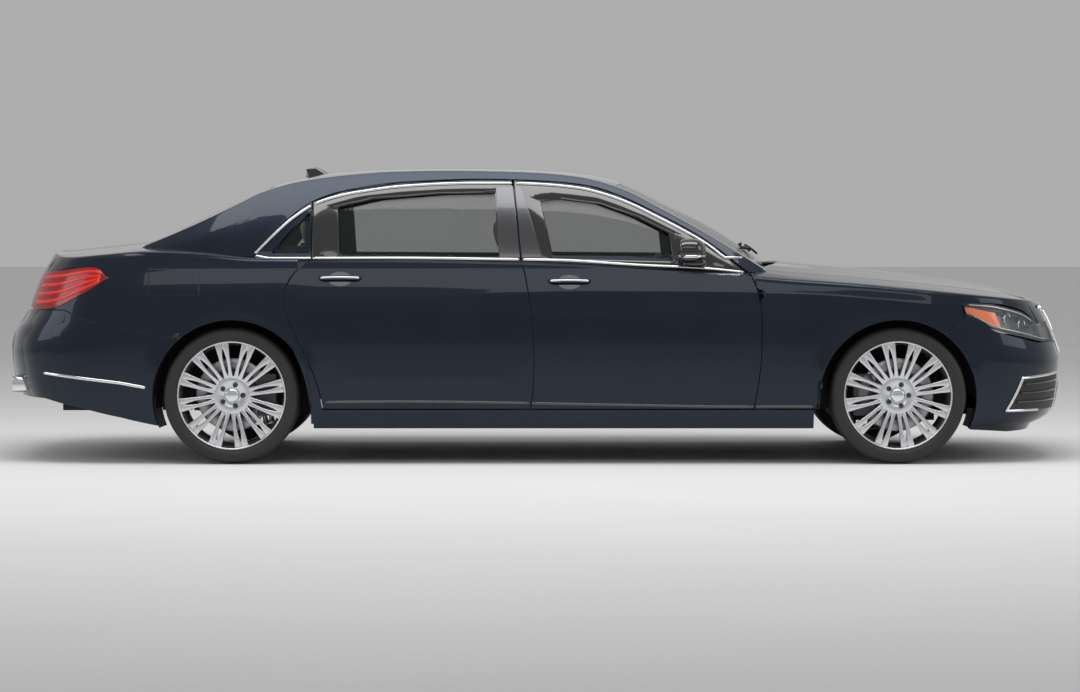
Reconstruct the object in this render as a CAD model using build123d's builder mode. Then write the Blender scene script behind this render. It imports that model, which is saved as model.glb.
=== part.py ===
from build123d import *
from functools import lru_cache
import math
import os

# A long-wheelbase luxury sedan with four doors, a bonnet and a boot, in millimetres.
# X runs forward, Y to the car's left, Z up. The origin is on the ground, midway along
# the car. Curves that shape the body are short lists of points joined by smooth curves.

os.makedirs("parts", exist_ok=True)

# ---------------------------------------------------------------- driving dimensions

LENGTH = 5460.0
WIDTH = 1899.0
ROOF_HEIGHT = 1498.0
WHEELBASE = 3365.0
FRONT_OVERHANG = 905.0

FRONT_TRACK = 1624.0
REAR_TRACK = 1620.0
TYRE_RADIUS = 345.0
FRONT_TYRE_WIDTH = 245.0
REAR_TYRE_WIDTH = 265.0
TYRE_WALL = 14.0
RIM_RADIUS = 273.0
RIM_LIP = 16.0
RIM_WALL = 9.0
SPOKE_COUNT = 24
SPOKE_WIDTH = 15.0
SPOKE_DEPTH = 30.0
HUB_RADIUS = 88.0
SPINDLE_RADIUS = 30.0
SPINDLE_PLAY = 0.05
DISC_RADIUS = 185.0
DISC_THICKNESS = 32.0

SILL_BOTTOM = 177.0
FLOOR_Z = 178.0
FLOOR_THICKNESS = 24.0
SKIN = 22.0
DOOR_THICKNESS = 130.0
DOOR_FLANGE = 22.0
DOOR_FRAME = 22.0
SHUT_GAP = 6.0
SEAM_GAP = 10.0
SEAL_GAP = 6.0
PILLAR_DEPTH = 80.0
PILLAR_INNER = 165.0
RAIL_DEPTH = 80.0
GLASS = 5.0
SEAT_CLEARANCE = 0.3
HINGE_INSET = 16.0
ARCH_RADIUS = 400.0
ARCH_CENTRE_Z = 328.0
LINER_WALL = 6.0
KINGPIN_Y = 735.0

FRONT_AXLE_X = LENGTH / 2 - FRONT_OVERHANG
REAR_AXLE_X = FRONT_AXLE_X - WHEELBASE

# The body curves are drawn for these stations, and stretch with the sizes above.
DRAWN_TAIL, DRAWN_REAR_AXLE, DRAWN_FRONT_AXLE, DRAWN_NOSE = -2730.0, -1540.0, 1825.0, 2730.0
DRAWN_BELT, DRAWN_ROOF = 1000.0, 1498.0


def along(x):
    """Move a drawn station so that it keeps its share of its overhang or the wheelbase."""
    drawn = (DRAWN_TAIL, DRAWN_REAR_AXLE, DRAWN_FRONT_AXLE, DRAWN_NOSE)
    real = (-LENGTH / 2, REAR_AXLE_X, FRONT_AXLE_X, LENGTH / 2)
    span = 0 if x < drawn[1] else 1 if x < drawn[2] else 2
    share = (x - drawn[span]) / (drawn[span + 1] - drawn[span])
    return real[span] + share * (real[span + 1] - real[span])


def lift(z):
    """Move a drawn height above the belt so that the roof comes to ROOF_HEIGHT."""
    if z <= DRAWN_BELT:
        return z
    return DRAWN_BELT + (z - DRAWN_BELT) * (ROOF_HEIGHT - DRAWN_BELT) / (DRAWN_ROOF - DRAWN_BELT)


def place(points):
    """Turn drawn side-view points into real ones."""
    return [(along(x), lift(z)) for x, z in points]


def smooth(points):
    """Give a function that runs smoothly through points and never overshoots them."""
    xs = [p[0] for p in points]
    ys = [p[1] for p in points]
    last = len(xs) - 1
    rises = [(ys[i + 1] - ys[i]) / (xs[i + 1] - xs[i]) for i in range(last)]
    slopes = [rises[0]]
    for before, after in zip(rises, rises[1:]):
        turns = before * after <= 0
        slopes.append(0.0 if turns else 2 * before * after / (before + after))
    slopes.append(rises[-1])

    def value(x):
        x = min(max(x, xs[0]), xs[last])
        i = 0
        while i < last - 1 and xs[i + 1] <= x:
            i += 1
        step = xs[i + 1] - xs[i]
        t = (x - xs[i]) / step
        low = (1 + 2 * t) * (1 - t) ** 2 * ys[i] + t * (1 - t) ** 2 * step * slopes[i]
        high = t * t * (3 - 2 * t) * ys[i + 1] + t * t * (t - 1) * step * slopes[i + 1]
        return low + high

    return value


# ---------------------------------------------------------------- body curves

# How far the side draws in from its widest line, by height.
side_inset = smooth([
    (120, 82), (177, 62), (230, 40), (300, 24), (400, 11), (520, 3), (640, 0),
    (760, 1), (868, 10), (940, 24), (1020, 46), (1100, 76), (1140, 95),
])

# How far the nose and the tail fall short of the car's ends, by height.
nose_inset = smooth([
    (120, 170), (186, 130), (220, 50), (300, 15), (420, 2), (500, 0), (560, 8),
    (640, 35), (720, 68), (795, 115), (900, 190), (1140, 330),
])
tail_inset = smooth([
    (120, 230), (200, 130), (335, 40), (467, 5), (550, 0), (633, 10), (683, 30),
    (713, 58), (758, 82), (819, 98), (884, 123), (939, 143), (989, 173),
    (1014, 200), (1060, 230), (1140, 280),
])

# Height of the body's top surface at its edges and along its middle.
edge_height = smooth(place([
    (-2730, 915), (-2600, 985), (-2437, 1000), (-2200, 1040), (-1950, 1062),
    (-1700, 1055), (-1419, 1032), (-689, 1029), (-185, 1019), (117, 1012),
    (520, 985), (823, 969), (1084, 947), (1221, 935), (1640, 905), (2007, 868),
    (2321, 822), (2530, 770), (2650, 720), (2730, 675),
]))
middle_height = smooth(place([
    (-2730, 975), (-2600, 1035), (-2437, 1070), (-2200, 1095), (-1950, 1118),
    (-1700, 1110), (-1419, 1080), (-689, 1060), (-185, 1050), (520, 1040),
    (1084, 1035), (1221, 1015), (1640, 975), (2007, 932), (2321, 888),
    (2530, 838), (2650, 785), (2730, 720),
]))

# The cabin's side glass at the belt, its edge where it meets the roof, and its middle.
cabin_base = smooth([(along(x), WIDTH / 2 - inset) for x, inset in [
    (-2010, 245), (-1700, 160), (-1400, 96), (-1000, 67), (-300, 57), (300, 57),
    (700, 76), (1000, 116), (1180, 160),
]])
rail_height = smooth(place([
    (-2010, 1092), (-1946, 1117), (-1739, 1205), (-1533, 1302), (-1409, 1363),
    (-1222, 1419), (-1000, 1452), (-707, 1474), (-450, 1478), (-190, 1474),
    (16, 1466), (223, 1444), (430, 1386), (636, 1281), (843, 1167), (1040, 1048),
    (1110, 1005), (1180, 960),
]))
roof_height = smooth(place([
    (-2010, 1120), (-1946, 1150), (-1739, 1250), (-1533, 1345), (-1409, 1400),
    (-1222, 1448), (-1000, 1482), (-707, 1495), (-450, 1498), (-100, 1494),
    (100, 1484), (338, 1455), (509, 1400), (659, 1325), (766, 1274), (873, 1223),
    (980, 1160), (1087, 1087), (1180, 1022),
]))


def cabin_inset(rise):
    """How far the cabin's side leans in, by its rise above the belt."""
    return 0.42 * rise + 0.0003 * rise ** 2


def rail_y(x):
    """Half width of the cabin where its side meets the roof or a screen."""
    rise = rail_height(x) - edge_height(x)
    return cabin_base(x) - cabin_inset(max(rise, 0.0))


def half_width(x, z, inset=0.0):
    """Half width of the lower body at a station and height: flat sides, rounded ends."""
    widest = WIDTH / 2 - side_inset(z) - inset
    front = LENGTH / 2 - nose_inset(z) - inset
    rear = LENGTH / 2 - tail_inset(z) - inset
    straight = along(1200.0) if x > 0 else -along(-1200.0)
    reach = front if x > 0 else rear
    share = max((abs(x) - straight) / (reach - straight), 0.0)
    power, root = (5.0, 3.0) if x > 0 else (6.0, 3.4)
    return widest * max(1.0 - share ** power, 0.0) ** (1.0 / root)


# ---------------------------------------------------------------- body forms


def even_spline(points, tangents=None):
    """A smooth curve through points, its knots evenly spread so that lofts stay light."""
    count = len(points) - 1
    shares = [index / count for index in range(count + 1)]
    return add(Edge.make_spline([Vector(*point) for point in points], tangents, parameters=shares))


@lru_cache(maxsize=None)
def side_form(inset):
    """The body's sides, nose and tail as one upright block, drawn in by inset."""
    shares = (0.99, 0.93, 0.8, 0.6, 0.3)
    with BuildPart() as sides:
        for z in (120.0, 177.0, 230.0, 300.0, 400.0, 520.0, 640.0, 760.0, 868.0, 940.0, 1020.0, 1140.0):
            front = LENGTH / 2 - nose_inset(z) - inset
            rear = LENGTH / 2 - tail_inset(z) - inset
            start, finish = along(1200.0), along(-1200.0)
            stations = [start + (front - start) * share for share in shares]
            stations += [along(600.0), along(-600.0)]
            stations += [finish - (rear + finish) * share for share in reversed(shares)]
            outline = [(front, 0.0)]
            outline += [(x, half_width(x, z, inset)) for x in stations]
            outline += [(-rear, 0.0)]
            with BuildSketch(Plane.XY.offset(z)):
                with BuildLine():
                    even_spline(outline, [(0, 1), (0, -1)])
                    Line(outline[-1], outline[0])
                make_face()
        loft()
        mirror(about=Plane.XZ)
    return sides.part


@lru_cache(maxsize=None)
def lower_form(inset):
    """The closed body below the glass, drawn in all round by inset."""
    with BuildPart() as deck:
        drawn = (
            -2760, -2600, -2437, -2200, -1950, -1700, -1419, -689, -185, 520, 1084,
            1221, 1640, 2007, 2321, 2530, 2650, 2760,
        )
        reach = WIDTH / 2 + 50.0
        for station in drawn:
            x = along(station)
            rise = middle_height(x) - edge_height(x)
            low = edge_height(x) - inset
            shares = (-1.0, -0.8, -0.5, 0.0, 0.5, 0.8, 1.0)
            crown = [(share * reach, low + rise * (1 - abs(share * 1.1) ** 2.3)) for share in shares]
            with BuildSketch(Plane.YZ.offset(x)):
                with BuildLine():
                    even_spline(crown)
                    Polyline(crown[-1], (reach, 50.0), (-reach, 50.0), crown[0])
                make_face()
        loft()
    with BuildPart() as form:
        add(side_form(inset))
        add(deck.part, mode=Mode.INTERSECT)
    return form.part


@lru_cache(maxsize=None)
def cabin_form(inset):
    """The closed cabin above the belt, drawn in all round by inset."""
    drawn = (
        -2010, -1946, -1739, -1533, -1409, -1222, -1000, -707, -450, -190, 16, 223,
        330, 430, 530, 636, 740, 843, 940, 1040, 1110, 1180,
    )
    with BuildPart() as form:
        for station in drawn:
            x = along(station)
            base = edge_height(x) - 60.0 - inset
            belt = cabin_base(x) - inset
            top = rail_height(x) - inset
            rail = rail_y(x) - inset
            middle = roof_height(x) - inset
            waist_z = (base + top) / 2
            waist = belt + 20.0 - cabin_inset(max(waist_z + inset - edge_height(x), 0.0))
            crown = [
                (share * rail, top + (middle - top) * (1 - abs(share) ** 2.2))
                for share in (-1.0, -0.75, -0.4, 0.0, 0.4, 0.75, 1.0)
            ]
            foot = belt + 8.0
            with BuildSketch(Plane.YZ.offset(x)):
                with BuildLine():
                    even_spline([(-foot, base), (-waist, waist_z), crown[0]])
                    even_spline(crown)
                    even_spline([crown[-1], (waist, waist_z), (foot, base)])
                    Line((foot, base), (-foot, base))
                make_face()
        loft()
    return form.part


def panel(outline, outside, inside, start=20.0):
    """A right-hand panel: a side outline cut through the wall between two forms."""
    with BuildPart() as piece:
        with BuildSketch(Plane.XZ.offset(start)):
            with BuildLine():
                Polyline(*outline, close=True)
            make_face()
        extrude(amount=WIDTH)
        add(outside, mode=Mode.INTERSECT)
        add(inside, mode=Mode.SUBTRACT)
    return piece.part


# ---------------------------------------------------------------- shut lines and outlines

# Side-view curves, drawn as (x, z) from low to high.
FRONT_SHUT = [(1095, 278), (1120, 414), (1135, 590), (1135, 716), (1120, 852), (1084, 947)]
MIDDLE_SHUT = [(-32, 278), (-19, 373), (-14, 520), (-19, 675), (-36, 820), (-60, 960), (-79, 1033)]
REAR_SHUT = [
    (-1080, 278), (-1097, 364), (-1142, 500), (-1205, 625), (-1253, 738), (-1278, 839),
    (-1250, 922), (-1220, 966),
]
SEAM_TOP = (-119, 1379)
DOOR_BOTTOM = 278.0
REAR_FRAME_X = -1137.0
# The top of the door frames, drawn from the rear to the front corner.
FRAME_TOP = [
    (-1137, 1322), (-991, 1372), (-689, 1418), (-286, 1434), (-84, 1430), (117, 1419),
    (268, 1400), (420, 1352), (621, 1257), (823, 1148), (898, 1097), (1066, 955),
]
FRONT_WINDOW = [(82, 1050), (20, 1325), (117, 1337), (319, 1312), (520, 1238), (671, 1162), (688, 1045)]
REAR_WINDOW = [(-1001, 1050), (-1011, 1293), (-840, 1334), (-487, 1362), (-215, 1366), (-190, 1045)]
QUARTER_LIGHT = [(-1343, 1062), (-1230, 1200), (-1165, 1262), (-1150, 1262), (-1150, 1062)]
HEAD_LAMP_TOP = [(2155, 800), (2208, 809), (2334, 804), (2409, 788), (2485, 763), (2560, 700)]
HEAD_LAMP_LOW = [
    (2155, 800), (2168, 765), (2233, 728), (2283, 692), (2334, 664), (2409, 645), (2485, 626),
    (2560, 608),
]
TAIL_LAMP_TOP = [(-2195, 937), (-2251, 980), (-2301, 990), (-2452, 972), (-2560, 960)]
TAIL_LAMP_LOW = [(-2195, 937), (-2251, 890), (-2326, 840), (-2401, 797), (-2477, 779), (-2560, 775)]
REAR_BUMPER_TOP = [(-1837, 637), (-2049, 674), (-2200, 705), (-2301, 731), (-2391, 772)]
REAR_BUMPER_LOW = [(-1900, 207), (-2099, 237), (-2300, 279), (-2502, 325), (-2760, 337)]
FLAP_REAR, FLAP_FRONT = -1958.0, -1700.0
FLAP_LOW, FLAP_HIGH = 849.0, 985.0
FLAP_SKIN = 8.0
BONNET_EDGE = [
    (1130, 742), (1300, 742), (1640, 735), (2007, 702), (2321, 640), (2480, 585), (2600, 520),
]
LID_HALF_WIDTH = 600.0
LID_LOW = 778.0
LID_FRONT = along(-2018.0)
GRILLE_HALF_WIDTH = 430.0
LAMP_INNER_Y = 500.0
GRILLE_LOW = 540.0
BONNET_NOSE_Z = 790.0
ROOF_EDGE = 45.0


def shifted(points, dx=0.0, dz=0.0):
    """Shift drawn points."""
    return [(x + dx, z + dz) for x, z in points]


def cut_out(outline, high=WIDTH, low=20.0):
    """A right-hand block with a side outline, for cutting through the body's wall."""
    with BuildPart() as block:
        with BuildSketch(Plane.XZ.offset(low)):
            with BuildLine():
                Polyline(*outline, close=True)
            make_face()
        extrude(amount=high - low)
    return block.part


def top_zone(margin):
    """A plan block between the two edges of the roof and the screens, less a margin."""
    stations = [along(x) for x in (-2100, -1850, -1600, -1300, -800, -200, 300, 700, 1000, 1180, 1300)]
    edge = [(x, rail_y(x) - margin) for x in stations]
    with BuildPart() as zone:
        with BuildSketch(Plane.XY.offset(DRAWN_BELT - 120.0)):
            with BuildLine():
                side = Spline(*edge)
                mirror(side, about=Plane.XZ)
                Line((edge[0][0], edge[0][1]), (edge[0][0], -edge[0][1]))
                Line((edge[-1][0], edge[-1][1]), (edge[-1][0], -edge[-1][1]))
            make_face()
        extrude(amount=ROOF_HEIGHT)
    return zone.part


def block(low, high):
    """A box between two corners."""
    with BuildPart() as box:
        with BuildSketch(Plane.XY.offset(low[2])):
            with Locations(((low[0] + high[0]) / 2, (low[1] + high[1]) / 2)):
                Rectangle(high[0] - low[0], high[1] - low[1])
        extrude(amount=high[2] - low[2])
    return box.part


def both(half):
    """The right-hand piece and its mirror image."""
    with BuildPart() as pair:
        add(half)
        mirror(about=Plane.XZ)
    return pair.part


def mirrored(half):
    """The left-hand piece from the right-hand one."""
    with BuildPart() as other:
        mirror(half, about=Plane.XZ)
    return other.part


def arch(axle_x, radius, low=0.0, high=WIDTH):
    """The wheel's space: a round top over straight sides, cut through the right side."""
    with BuildPart() as space:
        with BuildSketch(Plane.XZ.offset(low)):
            with Locations((axle_x, ARCH_CENTRE_Z)):
                Circle(radius)
            with Locations((axle_x, ARCH_CENTRE_Z / 2)):
                Rectangle(2 * radius, ARCH_CENTRE_Z)
        extrude(amount=high - low)
    return space.part


# ---------------------------------------------------------------- shared cutters

BELT_CUT = 1150.0
front_arch = arch(FRONT_AXLE_X, ARCH_RADIUS)
rear_arch = arch(REAR_AXLE_X, ARCH_RADIUS)

front_door_outline = place(
    shifted(FRONT_SHUT, -SHUT_GAP / 2)
    + [(1066, BELT_CUT)]
    + [(-79 + SHUT_GAP / 2, BELT_CUT)]
    + shifted(MIDDLE_SHUT, SHUT_GAP / 2)[::-1]
)
rear_door_outline = place(
    shifted(MIDDLE_SHUT, -SHUT_GAP / 2)
    + [(-79 - SHUT_GAP / 2, BELT_CUT)]
    + [(REAR_FRAME_X, BELT_CUT), (REAR_FRAME_X, 1030)]
    + shifted(REAR_SHUT, SHUT_GAP / 2)[::-1]
)
front_frame_outline = place(
    [(-79 + SEAM_GAP / 2, 1005), (SEAM_TOP[0] + SEAM_GAP / 2, SEAM_TOP[1])]
    + [(-122 + SEAM_GAP / 2, 1431)]
    + FRAME_TOP[5:]
    + [(1066, 935)]
)
rear_frame_outline = place(
    [(REAR_FRAME_X, 1005)]
    + FRAME_TOP[:4]
    + [(-122 - SEAM_GAP / 2, 1431)]
    + [(SEAM_TOP[0] - SEAM_GAP / 2, SEAM_TOP[1]), (-79 - SEAM_GAP / 2, 1005)]
)


# ---------------------------------------------------------------- doors


def door_shell(outline, box, frame, window):
    """A right-hand door: a flanged outer panel, the deep box behind it and its window frame."""
    with BuildPart() as ring:
        add(side_form(DOOR_FLANGE))
        add(cut_out(box), mode=Mode.SUBTRACT)
    with BuildPart() as shell:
        add(panel(outline, lower_form(0.0), side_form(DOOR_THICKNESS)))
        add(ring.part, mode=Mode.SUBTRACT)
        add(panel(frame, cabin_form(0.0), cabin_form(DOOR_FRAME)))
        add(cut_out(window), mode=Mode.SUBTRACT)
    return shell.part


def hinge_arms(hinge_x):
    """The body's halves of a right door's two hinges: arms from the post with round knuckles."""
    with BuildPart() as arms:
        for z in HINGE_HEIGHTS:
            with BuildSketch(Plane.XY.offset(z - HINGE_TALL / 2)):
                with Locations((hinge_x, -HINGE_Y)):
                    Circle(KNUCKLE_RADIUS)
                with Locations((hinge_x, -(HINGE_Y + ARM_ROOT_Y) / 2)):
                    Rectangle(HINGE_ARM, HINGE_Y - ARM_ROOT_Y)
            extrude(amount=HINGE_TALL)
    return arms.part


def hinge_pockets(hinge_x):
    """The right door's halves: the knuckles' sockets, open where the arms swing."""
    with BuildPart() as pockets:
        for z in HINGE_HEIGHTS:
            with BuildSketch(Plane.XY.offset(z - HINGE_TALL / 2 - SEAT_CLEARANCE)):
                with Locations((hinge_x, -HINGE_Y)):
                    Circle(KNUCKLE_RADIUS + SEAT_CLEARANCE)
                pocket_x = hinge_x + POCKET_LENGTH / 2 - KNUCKLE_RADIUS
                with Locations((pocket_x, POCKET_DEPTH / 2 - POCKET_FACE)):
                    Rectangle(POCKET_LENGTH, POCKET_DEPTH)
            extrude(amount=HINGE_TALL + 2 * SEAT_CLEARANCE)
    return pockets.part


FRONT_HINGE_X = along(1065.0)
REAR_HINGE_X = along(-84.0)
HINGE_Y = WIDTH / 2 - HINGE_INSET
POST_FACE_Y = WIDTH / 2 - PILLAR_DEPTH
ARM_ROOT_Y = POST_FACE_Y - 16.0
HINGE_ARM = 8.0
KNUCKLE_RADIUS = 5.0
HINGE_TALL = 40.0
POCKET_LENGTH = 62.0
POCKET_DEPTH = 42.0
POCKET_FACE = HINGE_Y + 3.0
HINGE_HEIGHTS = (430.0, 760.0)

front_box = place([(45, 330), (1054, 330), (1054, BELT_CUT), (45, BELT_CUT)])
rear_box = place([
    (-1030, 330), (-115, 330), (-115, BELT_CUT), (-1090, BELT_CUT), (-1150, 900), (-1100, 620),
])

with BuildPart() as door_front_right:
    add(door_shell(front_door_outline, front_box, front_frame_outline, place(FRONT_WINDOW)))
    add(hinge_pockets(FRONT_HINGE_X), mode=Mode.SUBTRACT)
door_front_right.part.label = "door_front_right"
export_step(door_front_right.part, "parts/door_front_right.step")

with BuildPart() as door_rear_right:
    add(door_shell(rear_door_outline, rear_box, rear_frame_outline, place(REAR_WINDOW)))
    add(hinge_pockets(REAR_HINGE_X), mode=Mode.SUBTRACT)
door_rear_right.part.label = "door_rear_right"
export_step(door_rear_right.part, "parts/door_rear_right.step")

with BuildPart() as door_front_left:
    add(mirrored(door_front_right.part))
door_front_left.part.label = "door_front_left"
export_step(door_front_left.part, "parts/door_front_left.step")

with BuildPart() as door_rear_left:
    add(mirrored(door_rear_right.part))
door_rear_left.part.label = "door_rear_left"
export_step(door_rear_left.part, "parts/door_rear_left.step")


def door_mirror():
    """A right-hand mirror: a foot on the door's shoulder and a rounded head with its glass."""
    with BuildPart() as mirror_piece:
        with BuildSketch(Plane.XZ.offset(MIRROR_INNER_Y)):
            with BuildLine():
                Polyline(*place([
                    (MIRROR_X - 70, 1066), (MIRROR_X + 95, 1058), (MIRROR_X + 95, 1100),
                    (MIRROR_X + 60, 1190),
                    (MIRROR_X - 20, 1205), (MIRROR_X - 70, 1180),
                ]), close=True)
            make_face()
        extrude(amount=MIRROR_REACH)
        fillet(mirror_piece.edges().filter_by(Axis.Y), radius=16.0)
        fillet(mirror_piece.faces().sort_by(Axis.Y)[0].edges(), radius=30.0)
        add(block(
            (MIRROR_X - 30, -MIRROR_INNER_Y - 60, 1036), (MIRROR_X + 50, -MIRROR_INNER_Y + 45, 1076),
        ))
        add(lower_form(0.0), mode=Mode.SUBTRACT)
        add(cabin_form(0.0), mode=Mode.SUBTRACT)
    return mirror_piece.part


MIRROR_X = along(760.0)
MIRROR_INNER_Y = 850.0
MIRROR_REACH = 190.0

with BuildPart() as door_mirror_right:
    add(door_mirror())
door_mirror_right.part.label = "door_mirror_right"
export_step(door_mirror_right.part, "parts/door_mirror_right.step")

with BuildPart() as door_mirror_left:
    add(mirrored(door_mirror_right.part))
door_mirror_left.part.label = "door_mirror_left"
export_step(door_mirror_left.part, "parts/door_mirror_left.step")


def door_glass(window):
    """A right-hand pane in the middle of its frame's thickness."""
    middle = DOOR_FRAME / 2
    with BuildPart() as pane:
        add(panel(window, cabin_form(middle - GLASS / 2), cabin_form(middle + GLASS / 2)))
    return pane.part


with BuildPart() as glass_front_right:
    add(door_glass(place(FRONT_WINDOW)))
glass_front_right.part.label = "glass_front_right"
export_step(glass_front_right.part, "parts/glass_front_right.step")

with BuildPart() as glass_rear_right:
    add(door_glass(place(REAR_WINDOW)))
glass_rear_right.part.label = "glass_rear_right"
export_step(glass_rear_right.part, "parts/glass_rear_right.step")

with BuildPart() as glass_front_left:
    add(mirrored(glass_front_right.part))
glass_front_left.part.label = "glass_front_left"
export_step(glass_front_left.part, "parts/glass_front_left.step")

with BuildPart() as glass_rear_left:
    add(mirrored(glass_rear_right.part))
glass_rear_left.part.label = "glass_rear_left"
export_step(glass_rear_left.part, "parts/glass_rear_left.step")


# ---------------------------------------------------------------- body sides

lid_zone = block(
    (-LENGTH, -LID_HALF_WIDTH - SHUT_GAP, 600.0),
    (LID_FRONT + 2 * SHUT_GAP, LID_HALF_WIDTH + SHUT_GAP, 1300.0),
)
quarter_outline = place(
    shifted(REAR_SHUT, -SHUT_GAP / 2)
    + [(REAR_FRAME_X - SHUT_GAP, 1030), (REAR_FRAME_X - SHUT_GAP, BELT_CUT), (-2760, BELT_CUT)]
    + shifted(TAIL_LAMP_TOP, SHUT_GAP / 2, SHUT_GAP / 2)[::-1][:-1]
    + [(-2195 + SHUT_GAP, 937)]
    + shifted(TAIL_LAMP_LOW, SHUT_GAP / 2, -SHUT_GAP / 2)[1:4]
    + shifted(REAR_BUMPER_TOP, 0, SHUT_GAP)[::-1]
    + [(-1800, 560), (-1300, 200), (-1083, 200)]
)
PILLAR_FOOT = 1165.0
cabin_side_outline = place(
    [(-2050, 1000), (-2050, 1520), (PILLAR_FOOT, 1520), (PILLAR_FOOT, 900)]
)
SILL_TOP = DOOR_BOTTOM - SHUT_GAP
INNER_SILL_TOP = 318.0
sill_outline = place([
    (-1150, SILL_BOTTOM), (1400, SILL_BOTTOM), (1400, SILL_TOP), (-1150, SILL_TOP),
])
inner_sill_outline = place([
    (-1075, SILL_BOTTOM), (1200, SILL_BOTTOM), (1200, INNER_SILL_TOP), (-1075, INNER_SILL_TOP),
])
# The doors' front edges swing inward past the sill here.
SILL_NOTCHES = ((along(-130.0), along(5.0)), (along(1030.0), along(1210.0)))
NOTCH_Y = -WIDTH / 2 + PILLAR_DEPTH + 18.0

with BuildPart() as quarter_skin:
    add(panel(quarter_outline, lower_form(0.0), lower_form(SKIN)))
    add(rear_arch, mode=Mode.SUBTRACT)
    add(lid_zone, mode=Mode.SUBTRACT)
    add(cabin_form(SKIN), mode=Mode.SUBTRACT)

with BuildPart() as cabin_side:
    add(panel(cabin_side_outline, cabin_form(0.0), cabin_form(RAIL_DEPTH)))
    add(top_zone(ROOF_EDGE), mode=Mode.SUBTRACT)
    add(cut_out(place(
        [(-79 + 300, 900), (REAR_FRAME_X - SHUT_GAP, 900), (REAR_FRAME_X - SHUT_GAP, 1322 + SHUT_GAP)]
        + shifted(FRAME_TOP[1:-1], 0, SHUT_GAP)
        + [(1066 + SHUT_GAP, 967 + SHUT_GAP), (1066 + SHUT_GAP, 900)]
    )), mode=Mode.SUBTRACT)
    add(cut_out(place(QUARTER_LIGHT)), mode=Mode.SUBTRACT)

with BuildPart() as cabin_flange:
    add(panel(
        place(
            [(REAR_FRAME_X - 40, 1045), (REAR_FRAME_X - 40, 1330)]
            + shifted(FRAME_TOP[1:-1], 0, 12) + [(960, 1080), (960, 1045)]
        ),
        cabin_form(DOOR_FRAME + SEAL_GAP), cabin_form(RAIL_DEPTH),
    ))
    add(cut_out(place(
        [(-1110, 900), (-1110, 1290), (-991, 1342), (-689, 1388), (-286, 1404), (-150, 1402), (-150, 900)]
    )), mode=Mode.SUBTRACT)
    add(cut_out(place(
        [(-50, 900), (-70, 1401), (117, 1389), (268, 1374), (405, 1342), (600, 1262), (800, 1160)]
        + [(1000, 990), (1000, 900)]
    )), mode=Mode.SUBTRACT)
    add(top_zone(ROOF_EDGE), mode=Mode.SUBTRACT)

# The front post is set in a little more, where the open door's inner corner passes it.
FRONT_POST_DEPTH = PILLAR_DEPTH + 5.0
post_outlines = (
    (PILLAR_DEPTH, [(-103, 200), (-103, 1100), (33, 1100), (33, 200)]),
    (FRONT_POST_DEPTH, [(1060, 200), (1060, 895), (1180, 895), (1180, 200)]),
    (PILLAR_DEPTH, [(-1300, 560), (-1300, 1100), (-1118, 1100), (-1168, 900), (-1118, 615)]),
)
with BuildPart() as posts:
    for depth, outline in post_outlines:
        add(panel(place(outline), side_form(depth), side_form(PILLAR_INNER)))

with BuildPart() as frame_parts:
    add(panel(sill_outline, side_form(0.0), side_form(PILLAR_INNER)))
    add(panel(inner_sill_outline, side_form(DOOR_FLANGE + SEAL_GAP), side_form(PILLAR_INNER)))
    add(posts.part)
    for start, finish in SILL_NOTCHES:
        add(block((start, -WIDTH, SILL_TOP), (finish, NOTCH_Y, INNER_SILL_TOP + 2.0)), mode=Mode.SUBTRACT)
    add(arch(REAR_AXLE_X, ARCH_RADIUS + LINER_WALL + 6.0), mode=Mode.SUBTRACT)
    add(arch(FRONT_AXLE_X, ARCH_RADIUS + LINER_WALL + 6.0), mode=Mode.SUBTRACT)

with BuildPart() as body_side:
    add(quarter_skin.part)
    add(cabin_side.part)
    add(cabin_flange.part)
    add(frame_parts.part)
    add(hinge_arms(FRONT_HINGE_X))
    add(hinge_arms(REAR_HINGE_X))

flap_opening = place([
    (FLAP_REAR - SHUT_GAP / 2, FLAP_LOW - SHUT_GAP / 2),
    (FLAP_FRONT + SHUT_GAP / 2, FLAP_LOW - SHUT_GAP / 2),
    (FLAP_FRONT + SHUT_GAP / 2, FLAP_HIGH + SHUT_GAP / 2),
    (FLAP_REAR - SHUT_GAP / 2, FLAP_HIGH + SHUT_GAP / 2),
])
flap_outline = place([
    (FLAP_REAR, FLAP_LOW), (FLAP_FRONT, FLAP_LOW), (FLAP_FRONT, FLAP_HIGH), (FLAP_REAR, FLAP_HIGH),
])
with BuildPart() as fuel_flap:
    add(panel(flap_outline, lower_form(0.0), lower_form(FLAP_SKIN)))
fuel_flap.part.label = "fuel_flap"
export_step(fuel_flap.part, "parts/fuel_flap.step")

with BuildPart() as flap_ledge:
    add(panel(
        place([
            (FLAP_REAR - 40, FLAP_LOW + 30), (FLAP_REAR + 15, FLAP_LOW + 30),
            (FLAP_REAR + 15, FLAP_HIGH - 30), (FLAP_REAR - 40, FLAP_HIGH - 30),
        ]),
        lower_form(FLAP_SKIN + SEAT_CLEARANCE), lower_form(SKIN + 10.0),
    ))

with BuildPart() as body_sides:
    add(both(body_side.part))
    add(cut_out(flap_opening, WIDTH, 600.0), mode=Mode.SUBTRACT)
    add(flap_ledge.part)
body_sides.part.label = "body_sides"
export_step(body_sides.part, "parts/body_sides.step")


# ---------------------------------------------------------------- roof, screens and deck panels


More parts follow.
